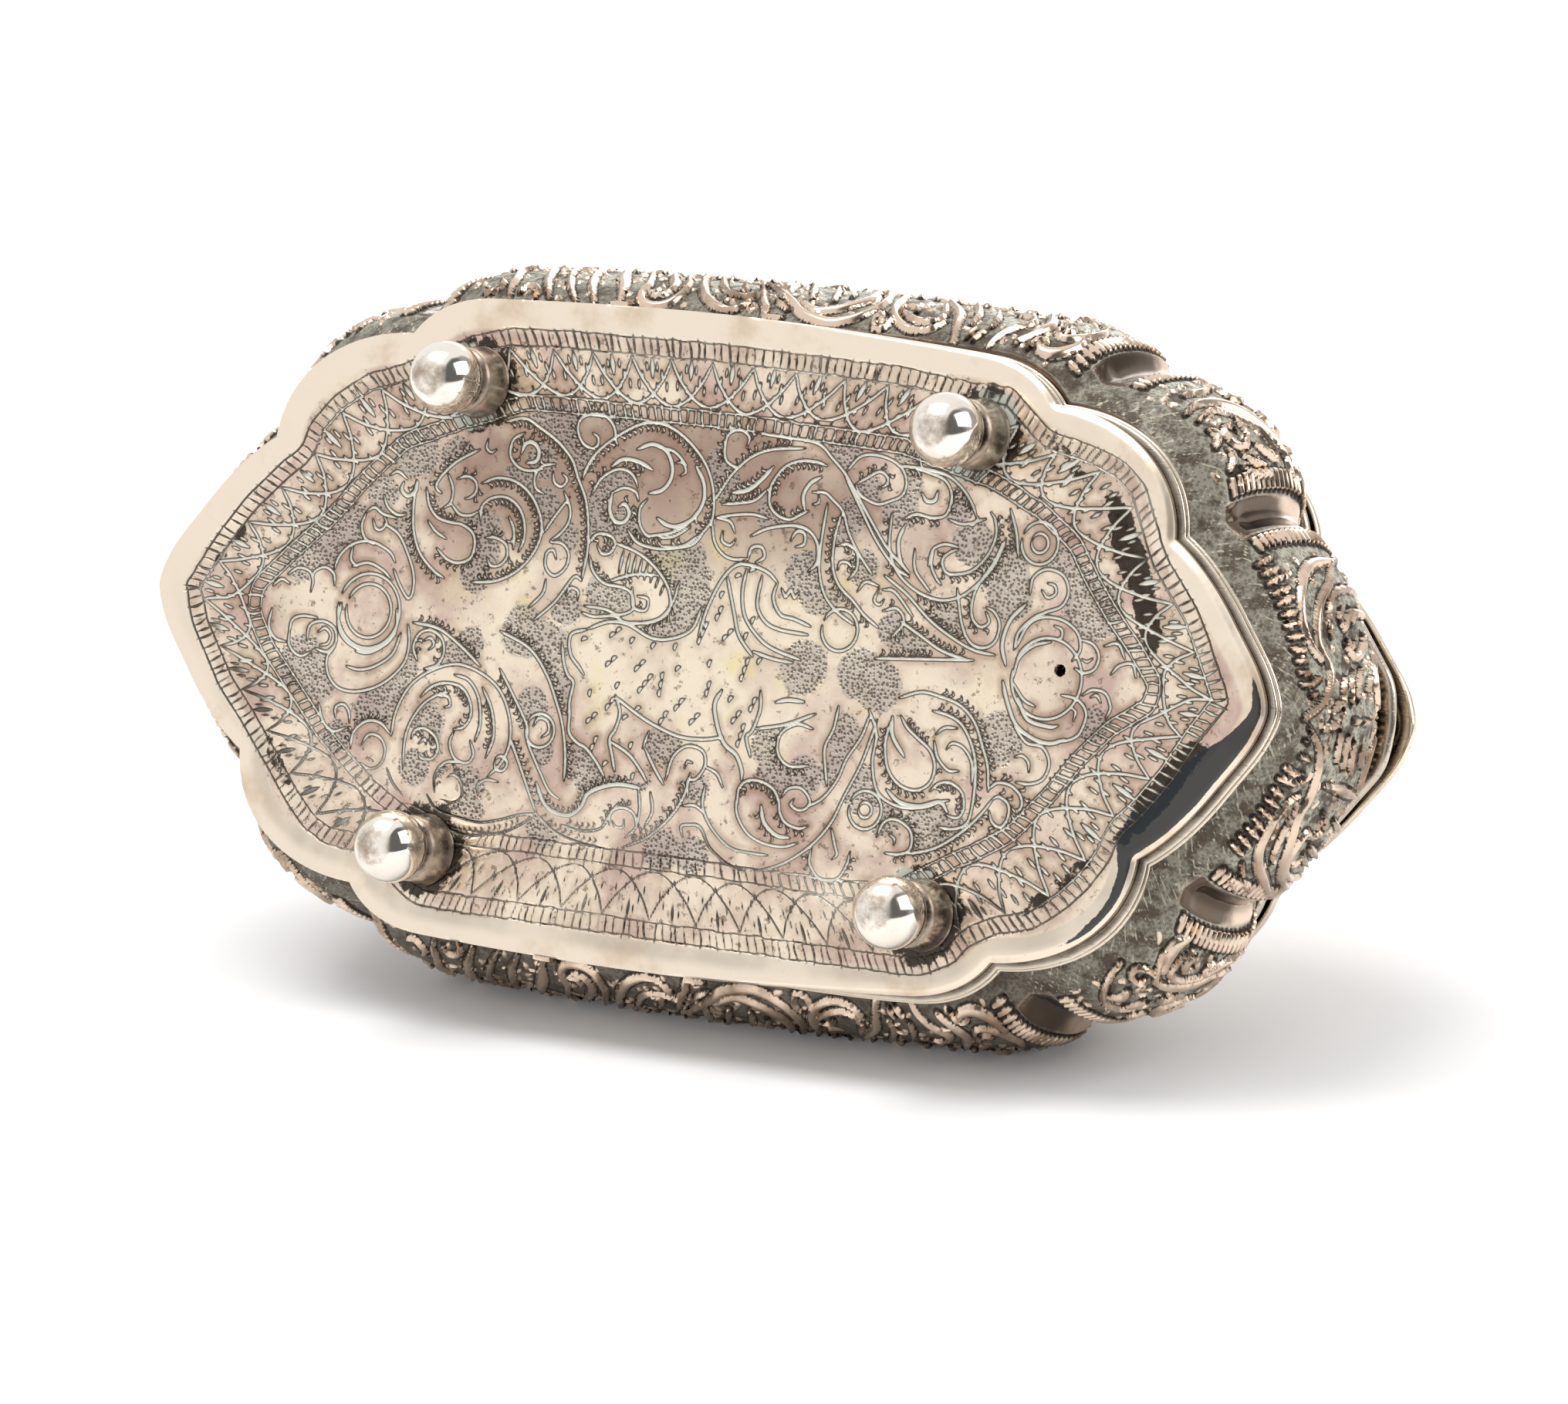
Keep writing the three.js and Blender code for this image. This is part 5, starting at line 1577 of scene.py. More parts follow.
SIDE_PANEL = """
0.8 7.8,5 8.8,3.8 8.3,2.5 7.1,2.8
0.9 11.3,1.3 10.3,3 9.6,5 8.3,8 8.6,10.5
0.8 14.3,1.3 13.8,3 12.3,3.5 11.9,2.5
1.1 16.2,1.6 14.3,4 12.8,6.5 11.8,9 10.3,11.5
0.8 19.8,1.5 17.8,3.3 15.8,6 14.5,8.5 13.3,11.5
1.0 22.1,1.5 19.8,4.2 18.3,7 16.3,11.5
1.5 25.1,1.8 23.3,5 21.3,8 19.3,11.5
0.6 23.9,1.6 26.9,1.7
1.0 22.8,11.5 24.8,8 26.3,5.2 26.7,3.3 27.9,2.1 29.9,1.8 31.3,2.4 31.5,4 30.8,6 29.3,8.5 27.6,11.5
1.1 25.5,11.5 27.3,8.5 28.8,6.5 29.8,4.5 29.6,3.2 28.5,2.9
0.5 27.8,5.7 28.6,4.6 28.3,3.6 27.5,3.4
1.2 29.6,11.5 31.3,8.2 33.3,5.2 35.3,3.2 37.8,2.1 39.9,2.3 40.5,3.6
0.8 31.6,11.5 33.6,8.5 35.3,6.2 37.3,4.6 39.3,4.3 40.9,5.2
0.7 36.6,8 37.8,6.5 38.2,5.4 37.5,4.9
0.9 38.8,8.2 40.3,6 41.8,3.9 42.7,2.9 43.5,1.7 45.6,1.7
0.8 41.3,11.5 42.3,8.5 43.5,6 43.3,4.6
0.6 43.3,4 44.8,3.2 45.7,2.7
1.2 38.8,9 42.3,6.4 45.3,4.2 47.3,2.7 49.8,2 52.3,1.9 54.5,3 55.3,5 54.9,7.5 53.5,10 52.5,12
1.3 45.6,4.8 47.3,3.7 49.3,3 51.3,3.8 52.7,5.5 53,7.5 52.1,10 50.9,12
0.7 43.3,11.5 45.3,8 46.8,5.5
0.7 46.3,11.5 48.3,8 49.6,5.3
0.5 49.3,10 50.6,7.2
0.6 57,4.3 56.4,3 57.2,1.7 58.3,1.9 58.5,3.2 57.9,4.1
1.0 54.8,11.5 56.3,8 57.3,5.2 59.3,3 61.8,2.1 63.9,2.6 64.3,4
0.8 57.6,6.7 58.3,5.2 60.3,3.9 62.3,3.3 63.5,4 63.3,5.2
0.6 57.9,6.4 59.3,6.3 60,5.2
0.8 61.3,9 62.8,6.5 63.6,5.3
1.2 59.8,12 61.8,9.5 64.3,6.8 65.8,4.2 66.8,2.2 67.4,1.3
0.8 63.1,12 65.3,9 66.9,6.3 67.5,4
0.5 68.3,2 68.7,3.4
0.5 69.3,1.8 69.8,3.5
0.7 67.8,9 69.3,6.3 69.9,4.3
0.9 70.3,8.6 72.3,8.2 73.5,6.6 72.5,4.8 71.8,2.8 71.5,1.5
1.3 72.3,12 74.3,9 75.5,6.6 75.1,4.4 74.3,2.6
1.0 76.6,8 76.9,6 78,5.1 79.3,6.2 79.9,8.8 79.5,11.3 78,13
0.6 77.1,7.4 77.7,6.4 78.3,7 77.9,7.8
1.5 76,3.6 77.1,2.7 78.6,2.9 79.8,4.3 80.2,6.5
0.6 75.9,2.2 76.1,3.4 77,3.9 77.4,3.1
"""


# Height of the wall that the panel tables are written for
TABLE_TALL = 23.2

# Table and mirroring of each panel, from the back shoulder of the +X end round to its tip
PANEL_ORDER = (
    (BACK_SHOULDER, True), (SIDE_PANEL, False), (BACK_SHOULDER, False), (END_PANEL, False),
    (FRONT_SHOULDER, False), (SIDE_PANEL, True), (FRONT_SHOULDER, True), (END_PANEL, False),
)

# Share of the lean by which each flute moves round from its cusp
FLUTE_SHIFTS = (-0.6, -0.75, 0.75, 0.6, -0.6, -0.75, 0.75, 0.6)


def panels(outline):
    """Start and length of the eight panels of the wall round its girth, between cusps."""
    end, both = outline.cusps
    lengths = [both - end, 2 * (outline.quarter - both), both - end, 2 * end] * 2
    starts = np.concatenate([[0], np.cumsum(lengths)[:-1]])
    return list(zip(starts, lengths))


def lay_strips(canvas, text, start, size, mirror=False, turn=False, squash=1.0, lift=0.0):
    """Raises the strips of one panel table, as written, mirrored, or turned half round."""
    for row in text.strip().splitlines():
        width, *pairs = row.split()
        points = np.array([[float(v) for v in pair.split(",")] for pair in pairs])
        if mirror:
            points[:, 0] = size - points[:, 0]
        if turn:
            points = np.array([size, TABLE_TALL + 0.2]) - points
        points = points * np.array([1, squash]) + np.array([start, lift])
        canvas.ridge(points, 0.14 + float(width) * 0.86, 1.0, (0.4, 0.65), 2.4)


def beads(canvas, path, width, pitch, height=0.85):
    """A row of narrow bars across a path."""
    path = curve_through(path, 0.3)
    run = along(path)
    for place in np.arange(pitch / 2, run[-1], pitch):
        a, b = place_on(path, [place - 0.05 * pitch, place + 0.05 * pitch])
        heading = unit(b - a)
        across = np.array([-heading[1], heading[0]]) * width / 2
        middle = (a + b) / 2
        canvas.ridge([middle - across * 0.7, middle + across * 0.7], pitch * 0.78, height, (0.9, 0.9), 3)


def tongues(canvas, chance, start, stop, low, high, pitch):
    """A row of upright tongues joined over their tops."""
    for x in np.arange(start, stop, pitch):
        lean = chance.normal(0.1, 0.08)
        canvas.ridge([[x, low], [x + lean, high]], pitch * 0.6, 0.85, (0.8, 0.9), 3)


def lattice(canvas, chance, start, stop, low, high, pitch):
    """Fine uneven lines that cross each other low on the wall."""
    tall = high - low
    for x in np.arange(start - tall, stop, pitch):
        for lean in (tall, -tall):
            a, b = np.array([x - lean / 2, low]), np.array([x + lean / 2, high])
            for share in (0, 0.33, 0.66):
                ends = np.array([a + (b - a) * share, a + (b - a) * (share + 0.36)])
                ends = ends + chance.normal(0, 0.13, (2, 2))
                if start < ends[0][0] < stop and chance.random() < 0.8:
                    width, height = chance.uniform(0.14, 0.26), chance.uniform(0.2, 0.8)
                    canvas.ridge(ends, width, height, (0.6, 0.6), 2, outlined=False)


def foliage(canvas, chance, start, stop, low, high, count):
    """Small chased leaves that fill what the scrolls leave free."""
    for x, y in chance.uniform((start, low), (stop, high), (count, 2)):
        if canvas.read(canvas.rise, x, y) > 0.25:
            continue
        angle, bend = chance.uniform(0, math.pi), chance.normal(0, 0.5)
        reach = chance.uniform(0.35, 0.7)
        at = np.array([x, y])
        a = at - reach * np.array([math.cos(angle - bend), math.sin(angle - bend)])
        b = at + reach * np.array([math.cos(angle + bend), math.sin(angle + bend)])
        width, height = chance.uniform(0.5, 0.8), chance.uniform(0.45, 0.75)
        canvas.ridge([a, at, b], width, height, (0.2, 0.2), 1.8, outlined=False)


# How far the strips of the long sides are set down
SIDE_DROP = 1.1


def chasing(outline, tall, lean):
    """Raised ornament of the wall on one canvas: girth to the right, height upwards."""
    canvas, veins = (Canvas((0, 0), (outline.whole, tall), 0.1) for _ in range(2))
    chance = np.random.default_rng(WALL_SEED)
    gx, gy = canvas.x[:, None], canvas.y[None, :]
    for k, (old_start, old_size) in enumerate(panels(outline)):
        side, end = k % 4 == 1, k % 4 == 3
        table, mirror = PANEL_ORDER[k]
        lay_strips(canvas, table, old_start, old_size, mirror, lift=-SIDE_DROP if side else 0)
        if side:
            lay_strips(canvas, table, old_start, old_size, mirror, True, lift=-SIDE_DROP)
        start = old_start + lean * FLUTE_SHIFTS[k]
        size = old_start + old_size + lean * FLUTE_SHIFTS[(k + 1) % 8] - start
        last = start + size
        low, high = (0.4 if side else 2.6), tall - 2.0
        for x in (start + 3.75, last - 3.75):
            beads(canvas, [(x, low + 1.2), (x, tall * 0.5), (x, high)], 1.9, 0.95)
        if end:
            tongues(canvas, chance, start + 5.5, start + size * 0.45, 3.0, 4.6, 1.12)
            tongues(canvas, chance, start + size * 0.62, last - 6, 3.0, 4.4, 1.12)
        if not side:
            lattice(veins, chance, start, last, 0.1, 3.4, 1.0)
        leaves = int(size * (6 if side else 4))
        foliage(canvas, chance, start + 5.0, last - 5.0, low + 0.4, high, leaves)
        beads(canvas, [(start + 3.4, tall - 1.1), (last - 3.4, tall - 1.1)], 1.1, 0.9)
        inside = smooth(start + 2.2, start + 2.6, gx) * smooth(last - 2.2, last - 2.6, gx)
        np.maximum(canvas.ground, inside * smooth(tall, tall - 0.5, gy), out=canvas.ground)
    np.maximum(canvas.ground, smooth(4.0, 3.0, gy) * np.ones_like(gx), out=canvas.ground)
    canvas.ground *= smooth(0, 0.3, gy)
    canvas.vein = np.clip(2 * veins.rise, 0, 1) * (canvas.rise < 0.2)
    return canvas


class SILVERBOX_OT_wall(bpy.types.Operator):
    """Makes the bulging chased wall with its plain flutes."""

    bl_idname = "silver_box.wall"
    bl_label = "Chased wall"

    def execute(self, context):
        sizes = context.scene.silver_box_sizes
        outline = Outline(sizes, 0.23)
        tall = WALL_TOP - WALL_BOTTOM
        heights = np.linspace(0, tall, 121)
        rows = [self.level(sizes, outline, h, tall) for h in heights]
        grid = np.stack([row for row, _ in rows])
        canvas = chasing(outline, tall, sizes.flute_lean / MM)
        girth = (outline.girth - outline.cusps[0]) % outline.whole
        s = (girth[None, :] + np.stack([shift for _, shift in rows])) % outline.whole
        h = np.repeat(heights[:, None], len(girth), 1)
        drawn = (canvas.rise, canvas.cut, canvas.ground, canvas.vein)
        rise, cut, ground, vein = (canvas.read(field, s, h) for field in drawn)
        keep = smooth(0, 0.5, h) * smooth(tall, tall - 0.5, h)
        lift = sizes.relief / MM * (rise + 0.15 * vein - 0.35 * ground) - 0.06 * smooth(0.1, -0.08, cut)
        grid = grid + surface_normals(grid) * (lift * keep)[..., None]
        shares = (1.0, 0.9, 0.75, 0.5, 0.28, 0.1, 0.0)
        inner = [self.level(sizes, outline, share * tall, tall, 1.0)[0] for share in shares]
        points, faces = ring([*grid, *inner])
        # Painted shade on the front side, which lies towards the floor, away from the -X tip; the brown
        # field also darkens a band low on the wall near its foot
        brown = 0.75 * smooth(-6, -24, grid[..., 1]) * smooth(-58, -44, grid[..., 0])
        fields = {
            "rise": rise,
            "cut": cut,
            "ground": ground,
            "tarnish": 1.15 * (1 - ground) * smooth(21, 5, h),
            "brown": np.maximum(brown, 0.56 * smooth(5.0, 2.6, h)),
            "vein": vein * smooth(5.5, 3.5, h),
        }
        fields = with_rest(fields, len(points) - rise.size)
        add_piece("Chased_wall", points, faces, "chased_silver", "box", "body_wall", fields)
        return {"FINISHED"}

    @staticmethod
    def level(sizes, outline, h, tall, thickness=0.0):
        """One row of the wall, and how far each of its points went round towards the tips."""
        tip_out, side_out = (out - thickness for out in wall_profile(sizes, h / tall))
        hollow = float(smooth(2.4, 6.5, h))
        blunt = 1.1 * smooth(0.45, 1, h / tall)
        row = outline.row(WALL_BOTTOM + h, tip_out, side_out, hollow, blunt=blunt)
        x = row[:, 0].copy()
        lean = sizes.flute_lean / MM * smooth(0.3, 5, h) * (1 - 0.8 * smooth(0.75 * tall, tall, h))
        reach = np.abs(x)
        moved = np.sign(x) * lean * smooth(12, 42, reach) * smooth(outline.long + 0.5, 64.5, reach)
        heading = unit(np.roll(outline.plain, -8, axis=0) - np.roll(outline.plain, 8, axis=0))
        row[:, 0] += moved
        return row, moved * heading[:, 0]


# Radii of a foot's worn flat and of its seat in the collar
FOOT_FLAT, FOOT_SEAT = 0.9, 2.9

# Section of a collar as share of its height and radius
COLLAR_SHAPE = [
    (0, 2.9), (0.05, 3.2), (0.12, 3.42), (0.22, 3.52), (0.5, 3.58), (0.8, 3.64), (0.93, 3.74), (1, 3.88),
]


class SILVERBOX_OT_feet(bpy.types.Operator):
    """Makes the four ball feet and their soldered collars."""

    bl_idname = "silver_box.feet"
    bl_label = "Ball feet"

    def execute(self, context):
        radius = context.scene.silver_box_sizes.ball_radius / MM
        centre = math.sqrt(radius**2 - FOOT_FLAT**2)
        low, high = math.asin(FOOT_FLAT / radius), math.pi - math.asin(FOOT_SEAT / radius)
        ball = [(0, 0), (0.5 * FOOT_FLAT, 0), (0.93 * FOOT_FLAT, 0.0)]
        for angle in np.linspace(low, high, 40):
            ball.append((radius * math.sin(angle), centre - radius * math.cos(angle)))
        seat_z = ball[-1][1]
        ball.append((0, seat_z))
        tall = PLATE_BOTTOM - seat_z
        curve = curve_through(COLLAR_SHAPE, 0.02)
        collar = [(0, seat_z)] + [(r, seat_z + t * tall) for t, r in curve] + [(0, PLATE_BOTTOM)]

        def ball_tarnish(points):
            z = points[:, 2]
            worn = smooth(2.7, 1.9, np.hypot(points[:, 0], points[:, 1])) * (z < radius)
            joint = np.maximum(smooth(seat_z - 0.6, seat_z, z), 0.28 * smooth(3.6, seat_z, z))
            return np.maximum(joint, 0.3 * worn)

        def collar_tarnish(points):
            z = points[:, 2]
            upper = smooth(PLATE_BOTTOM - 0.8, PLATE_BOTTOM, z)
            return 0.24 + 0.5 * np.maximum(smooth(seat_z + 0.9, seat_z, z), upper)

        kinds = (("ball", ball, ball_tarnish), ("collar", collar, collar_tarnish))
        for y, end in ((-FOOT_Y, "front"), (FOOT_Y, "back")):
            for x, side in ((-FOOT_X, "left"), (FOOT_X, "right")):
                for kind, profile, tarnish in kinds:
                    points, faces = turned(profile, 96)
                    name, node = f"{kind.capitalize()}_{end}_{side}", f"foot_{kind}_{end}_{side}"
                    fields = {"tarnish": tarnish(points)}
                    points = points + np.array([x, y, 0])
                    add_piece(name, points, faces, "polished_silver", "box", node, fields, 60)
        return {"FINISHED"}


# Section of the shell from its foot to its crown: share of the height, how far in, how
# deep the flutes are, and how round the plan is
SHELL_TALL, SHELL_INWARD = 13.0, 31
SHELL_PROFILE = [
    (0, 0, 0.2, 0), (0.1, 0.03, 0.7, 0), (0.2, 0.045, 1, 0), (0.42, 0.1, 0.9, 0),
    (0.64, 0.22, 0.6, 0.1), (0.8, 0.4, 0.25, 0.3), (0.92, 0.66, 0, 0.6), (0.98, 1, 0, 0.9),
]


class SILVERBOX_OT_lid(bpy.types.Operator):
    """Makes the lid: flange, bead and domed chased shell."""

    bl_idname = "silver_box.lid"
    bl_label = "Lid"

    def execute(self, context):
        sizes = context.scene.silver_box_sizes
        outline = Outline(sizes, 0.45)
        under = [(-3.4, -3.4), (0.3, -1.7), (0.45, -1.55), (1.1, -0.9), (1.18, -0.82)]
        flange = [(FLANGE_LOW, tip, side) for tip, side in under]
        flange += half_round(FLANGE_LOW, FLANGE_TOP, (1.2, -0.8), (1.6, -0.4), 0.5, 9)
        flange += [(FLANGE_TOP, -3.4, -3.4)]
        # Painted shade: the flat underside of the flange is darkened as the shade under its overhang,
        # less so in a strip near the tips, through the moulding's tarnish field
        tarnish = np.zeros((len(flange), len(outline.plain)))
        tarnish[: len(under)] = 0.88
        tarnish[2:4] *= 0.25 + 0.75 * smooth(66.2, 64.5, np.abs(outline.plain[:, 0]))
        add_moulding("Lid_flange", flange, outline, "lid", "lid_flange", 0.4, tarnish)
        bead = half_round(FLANGE_TOP, BEAD_TOP, (-0.4, -1.6), (0.2, -1.2), 0.6, 9)
        bead += [(BEAD_TOP, -1.9, -1.9), (FLANGE_TOP, -1.9, -1.9)]
        add_moulding("Lid_bead", bead, outline, "lid", "lid_bead")
        self.shell(sizes)
        return {"FINISHED"}

    def shell(self, sizes):
        outline = Outline(sizes, 0.3)
        knots = np.array(SHELL_PROFILE, float)
        run, fine = np.linspace(0, 1, len(knots)), np.linspace(0, 1, 118)
        bent = [curve_through(np.stack([run, knots[:, k]], 1), 0.002) for k in range(4)]
        profile = np.stack([np.interp(fine, c[:, 0], c[:, 1]) for c in bent], 1)
        profile[:, 2:] = np.clip(profile[:, 2:], 0, 1)

        def level(share, thickness):
            rise, inward, hollow, roundness = share
            z = FLANGE_TOP + rise * SHELL_TALL - thickness * rise
            out = -2.2 - thickness
            return outline.row(z, out, out, hollow, roundness, inward * SHELL_INWARD)

        def crown(row, shares, dome):
            """Rows that close a narrow top row, level by level."""
            rows = [row * np.array([0.55 + 0.45 * share, share, 1]) for share in shares]
            for one, share in zip(rows, shares):
                one[:, 2] += dome * (1 - share**2)
            return rows

        rows = [level(share, 0) for share in profile]
        grid = np.stack(rows)
        girth = (outline.girth - outline.cusps[0]) % outline.whole
        climbs = np.linalg.norm(np.diff(grid, axis=0), axis=2).mean(1)
        radial = np.concatenate([[0], np.cumsum(climbs)])
        canvas = lid_chasing(outline, radial[-1])
        s = np.repeat(girth[None, :], len(grid), 0)
        r = np.repeat(radial[:, None], len(girth), 1)
        rise, cut, ground = (canvas.read(f, s, r) for f in (canvas.rise, canvas.cut, canvas.ground))
        keep = smooth(0, 0.5, r)
        lift = sizes.relief / MM * 0.8 * (rise - 0.35 * ground) - 0.05 * smooth(0.1, -0.08, cut)
        grid = grid + surface_normals(grid) * (lift * keep)[..., None]

        inner = [level(share, 1.0) for share in knots[[7, 6, 5, 4, 3, 2, 0]]]
        outside = [*grid, *crown(rows[-1], (0.75, 0.5, 0.25, 0.05), 0.25)]
        inside = [*crown(inner[0], (0.05, 0.5), 0.0), *inner]
        count, start = len(girth), len(outside) * len(girth)
        points = np.concatenate([*outside, *inside])
        i = np.arange(count)
        faces = [
            grid_faces(len(outside), count),
            grid_faces(len(inside), count, start=start),
            self.cap(start - count, count, False),
            self.cap(start, count, True),
            join_rows(len(points) - count + i, i),
        ]
        bare = np.zeros(rise.shape)
        fields = {"rise": rise, "cut": cut, "ground": ground}
        fields |= {"tarnish": bare, "brown": bare, "vein": bare}
        fields = with_rest(fields, len(points) - rise.size)
        add_piece("Lid_shell", points, faces, "chased_silver", "lid", "lid_shell", fields)

    @staticmethod
    def cap(start, count, flip):
        """Faces across the last narrow row, from its back half to its front half."""
        i = np.arange(count // 2)
        other, other_next = (count - i) % count, (count - i - 1) % count
        faces = start + np.stack([i, i + 1, other_next, other], 1)
        return faces[:, ::-1] if flip else faces


def lid_chasing(outline, tall):
    """Raised ornament of the lid on one canvas: girth to the right, inward run upwards."""
    canvas = Canvas((0, 0), (outline.whole, tall), 0.15)
    chance = np.random.default_rng(LID_SEED)
    stop = 0.52 * tall
    squash = (stop - 3.5) / TABLE_TALL
    gx, gy = canvas.x[:, None], canvas.y[None, :]
    for k, (start, size) in enumerate(panels(outline)):
        table, mirror = PANEL_ORDER[k]
        last = start + size
        for turn in (False, True)[: 2 if k % 4 == 1 else 1]:
            lay_strips(canvas, table, start, size, not mirror, turn, squash, 2.0)
        for x in (start + 3.4, last - 3.4):
            beads(canvas, [(x, 2.2), (x, stop / 2), (x, stop - 2)], 1.4, 1.0)
        foliage(canvas, chance, start + 4.4, last - 4.4, 2.2, stop - 1.5, int(size * 5))
        inside = smooth(start + 2.2, start + 2.8, gx) * smooth(last - 2.2, last - 2.8, gx)
        work = inside * smooth(0.6, 1.2, gy) * smooth(stop, stop - 0.6, gy)
        np.maximum(canvas.ground, work, out=canvas.ground)
    shares = (0, outline.whole / 2, outline.whole)
    for height in (1.0, stop - 1.0):
        beads(canvas, [(x, height) for x in shares], 1.2, 1.2)
    canvas.ridge([(x, stop + 0.4) for x in shares], 0.9, 0.9, (1, 1), 2)
    return canvas


# Knuckles: outer radius, radius of the bore, and softening of their rims
KNUCKLE, BORE, KNUCKLE_SOFT = 1.2, 0.61, 0.12

# Hinge strips: radii that hug the knuckles, and thickness where they run in
STRIP_NEAR, STRIP_FAR, STRIP_THICK = 1.5, 2.1, 0.6


class SILVERBOX_OT_hinge(bpy.types.Operator):
    """Makes the knuckles, the pin and the two soldered strips of the hinge."""

    bl_idname = "silver_box.hinge"
    bl_label = "Hinge"

    def execute(self, context):
        y, z = ((cad_low("hinge_pin", axis) + cad_high("hinge_pin", axis)) / 2 for axis in (1, 2))

        def add(name, points, faces, body, node):
            """Adds a piece made upright so that it lies along X on the hinge axis."""
            points = np.stack([points[:, 2], y + points[:, 1], z - points[:, 0]], 1)
            add_piece(name, points, faces, "hinge_silver", body, node, crease=50)

        for body, word, count in (("box", "body", 3), ("lid", "lid", 2)):
            for k in range(1, count + 1):
                node = f"{word}_hinge_knuckle_{k}"
                points, faces = self.tube(cad_low(node, 0), cad_high(node, 0))
                add(f"Knuckle_{word}_{k}", points, faces, body, node)
        reach = cad_high("hinge_pin", 0)
        pin = [(0, -reach), (0.4, -reach), (0.52, -reach + 0.06), (0.55, -reach + 0.16)]
        pin += [(r, -h) for r, h in reversed(pin)]
        add("Hinge_pin", *turned(pin, 40), "box", "hinge_pin")
        self.bearer("box", "Body_bearer", "body_hinge_bearer", -1, y, z)
        self.bearer("lid", "Lid_bearer", "lid_hinge_bearer", 1, y, z)
        return {"FINISHED"}

    @staticmethod
    def tube(low, high):
        """A tube with softened rims."""
        soft = KNUCKLE_SOFT
        section = [(BORE, low), (KNUCKLE - soft, low)]
        section += [(KNUCKLE - soft * 0.3, low + soft * 0.3), (KNUCKLE, low + soft)]
        section += [(KNUCKLE, high - soft), (KNUCKLE - soft * 0.3, high - soft * 0.3)]
        section += [(KNUCKLE - soft, high), (BORE, high)]
        return ring([circle(r, h, 56) for r, h in section])

    @staticmethod
    def bearer(body, name, node, side, y, z):
        """A strip that hugs the knuckles and runs in to the moulding that carries it."""
        foot = FLANGE_TOP if side > 0 else ROLL_TOP - 0.25 * (ROLL_TOP - WALL_TOP)

        def bow(radius, foot_z, start, count):
            """One side of the strip's section, from its foot round the knuckles."""
            out = [(cad_low(node, 1), foot_z)]
            for share in np.linspace(start, 0.22, count):
                angle = side * 2 * math.pi * share
                out.append((y + radius * math.cos(angle), z + radius * math.sin(angle)))
            return out

        inside = bow(STRIP_NEAR, foot, 0.36, 12)
        outside = bow(STRIP_FAR, foot + side * STRIP_THICK, 0.29, 8)
        section = np.array(inside + outside[::-1])
        half, middle = cad_high(node, 0), section.mean(0)
        rows = []
        for x, draw_in in ((-half, 0.12), (-half + 0.12, 0.0), (half - 0.12, 0.0), (half, 0.12)):
            pulled = section + (middle - section) * draw_in * 0.3
            rows.append(np.column_stack([np.full(len(section), x), pulled]))
        count = len(section)
        lower, upper = range(len(inside)), range(count - 1, len(inside) - 1, -1)
        caps = []
        a = b = 0
        while a < len(lower) - 1 or b < len(upper) - 1:
            ahead = (a + 1) / len(lower) <= (b + 1) / len(upper)
            if b == len(upper) - 1 or (a < len(lower) - 1 and ahead):
                caps.append([lower[a], lower[a + 1], upper[b]])
                a += 1
            else:
                caps.append([lower[a], upper[b + 1], upper[b]])
                b += 1
        start, end = np.array(caps), np.array(caps) + (len(rows) - 1) * count
        faces = [grid_faces(len(rows), count, True, side < 0)]
        faces += [start, end[:, ::-1]] if side > 0 else [start[:, ::-1], end]
        add_piece(name, np.concatenate(rows), faces, "hinge_silver", body, node, crease=50)


# Camera of the photograph: lens in millimetres, place in metres and turn
CAMERA_LENS = 248.03
CAMERA_PLACE = (-0.61596, 0.00077, -0.94522)
CAMERA_TURN = ((-0.8389, 0.1020, -0.5346), (0.1176, 0.9931, 0.0050), (0.5314, -0.0587, -0.8451))

# Floor under the lying box, in metres and degrees, and how much of its own light it shows
FLOOR_GAP, FLOOR_TOUCH, FLOOR_TILT, FLOOR_REACH = 0.0002, 0.024, 20, 3.0
FLOOR_GLOW = 0.065

# Lamps as name, place in metres, power in watts, width and height
LAMPS = (
    ("Overhead softbox", (0.3, 1.1, -0.5), 9.0, 0.9, 0.6),
    ("Side softbox", (-1.0, 0.65, 0.0), 7.0, 0.8, 1.0),
    ("Lid fill", (0.3, 0.6, 1.1), 5.0, 0.8, 0.8),
)
LAMP_TARGET = Vector((0, 0, 0.025))


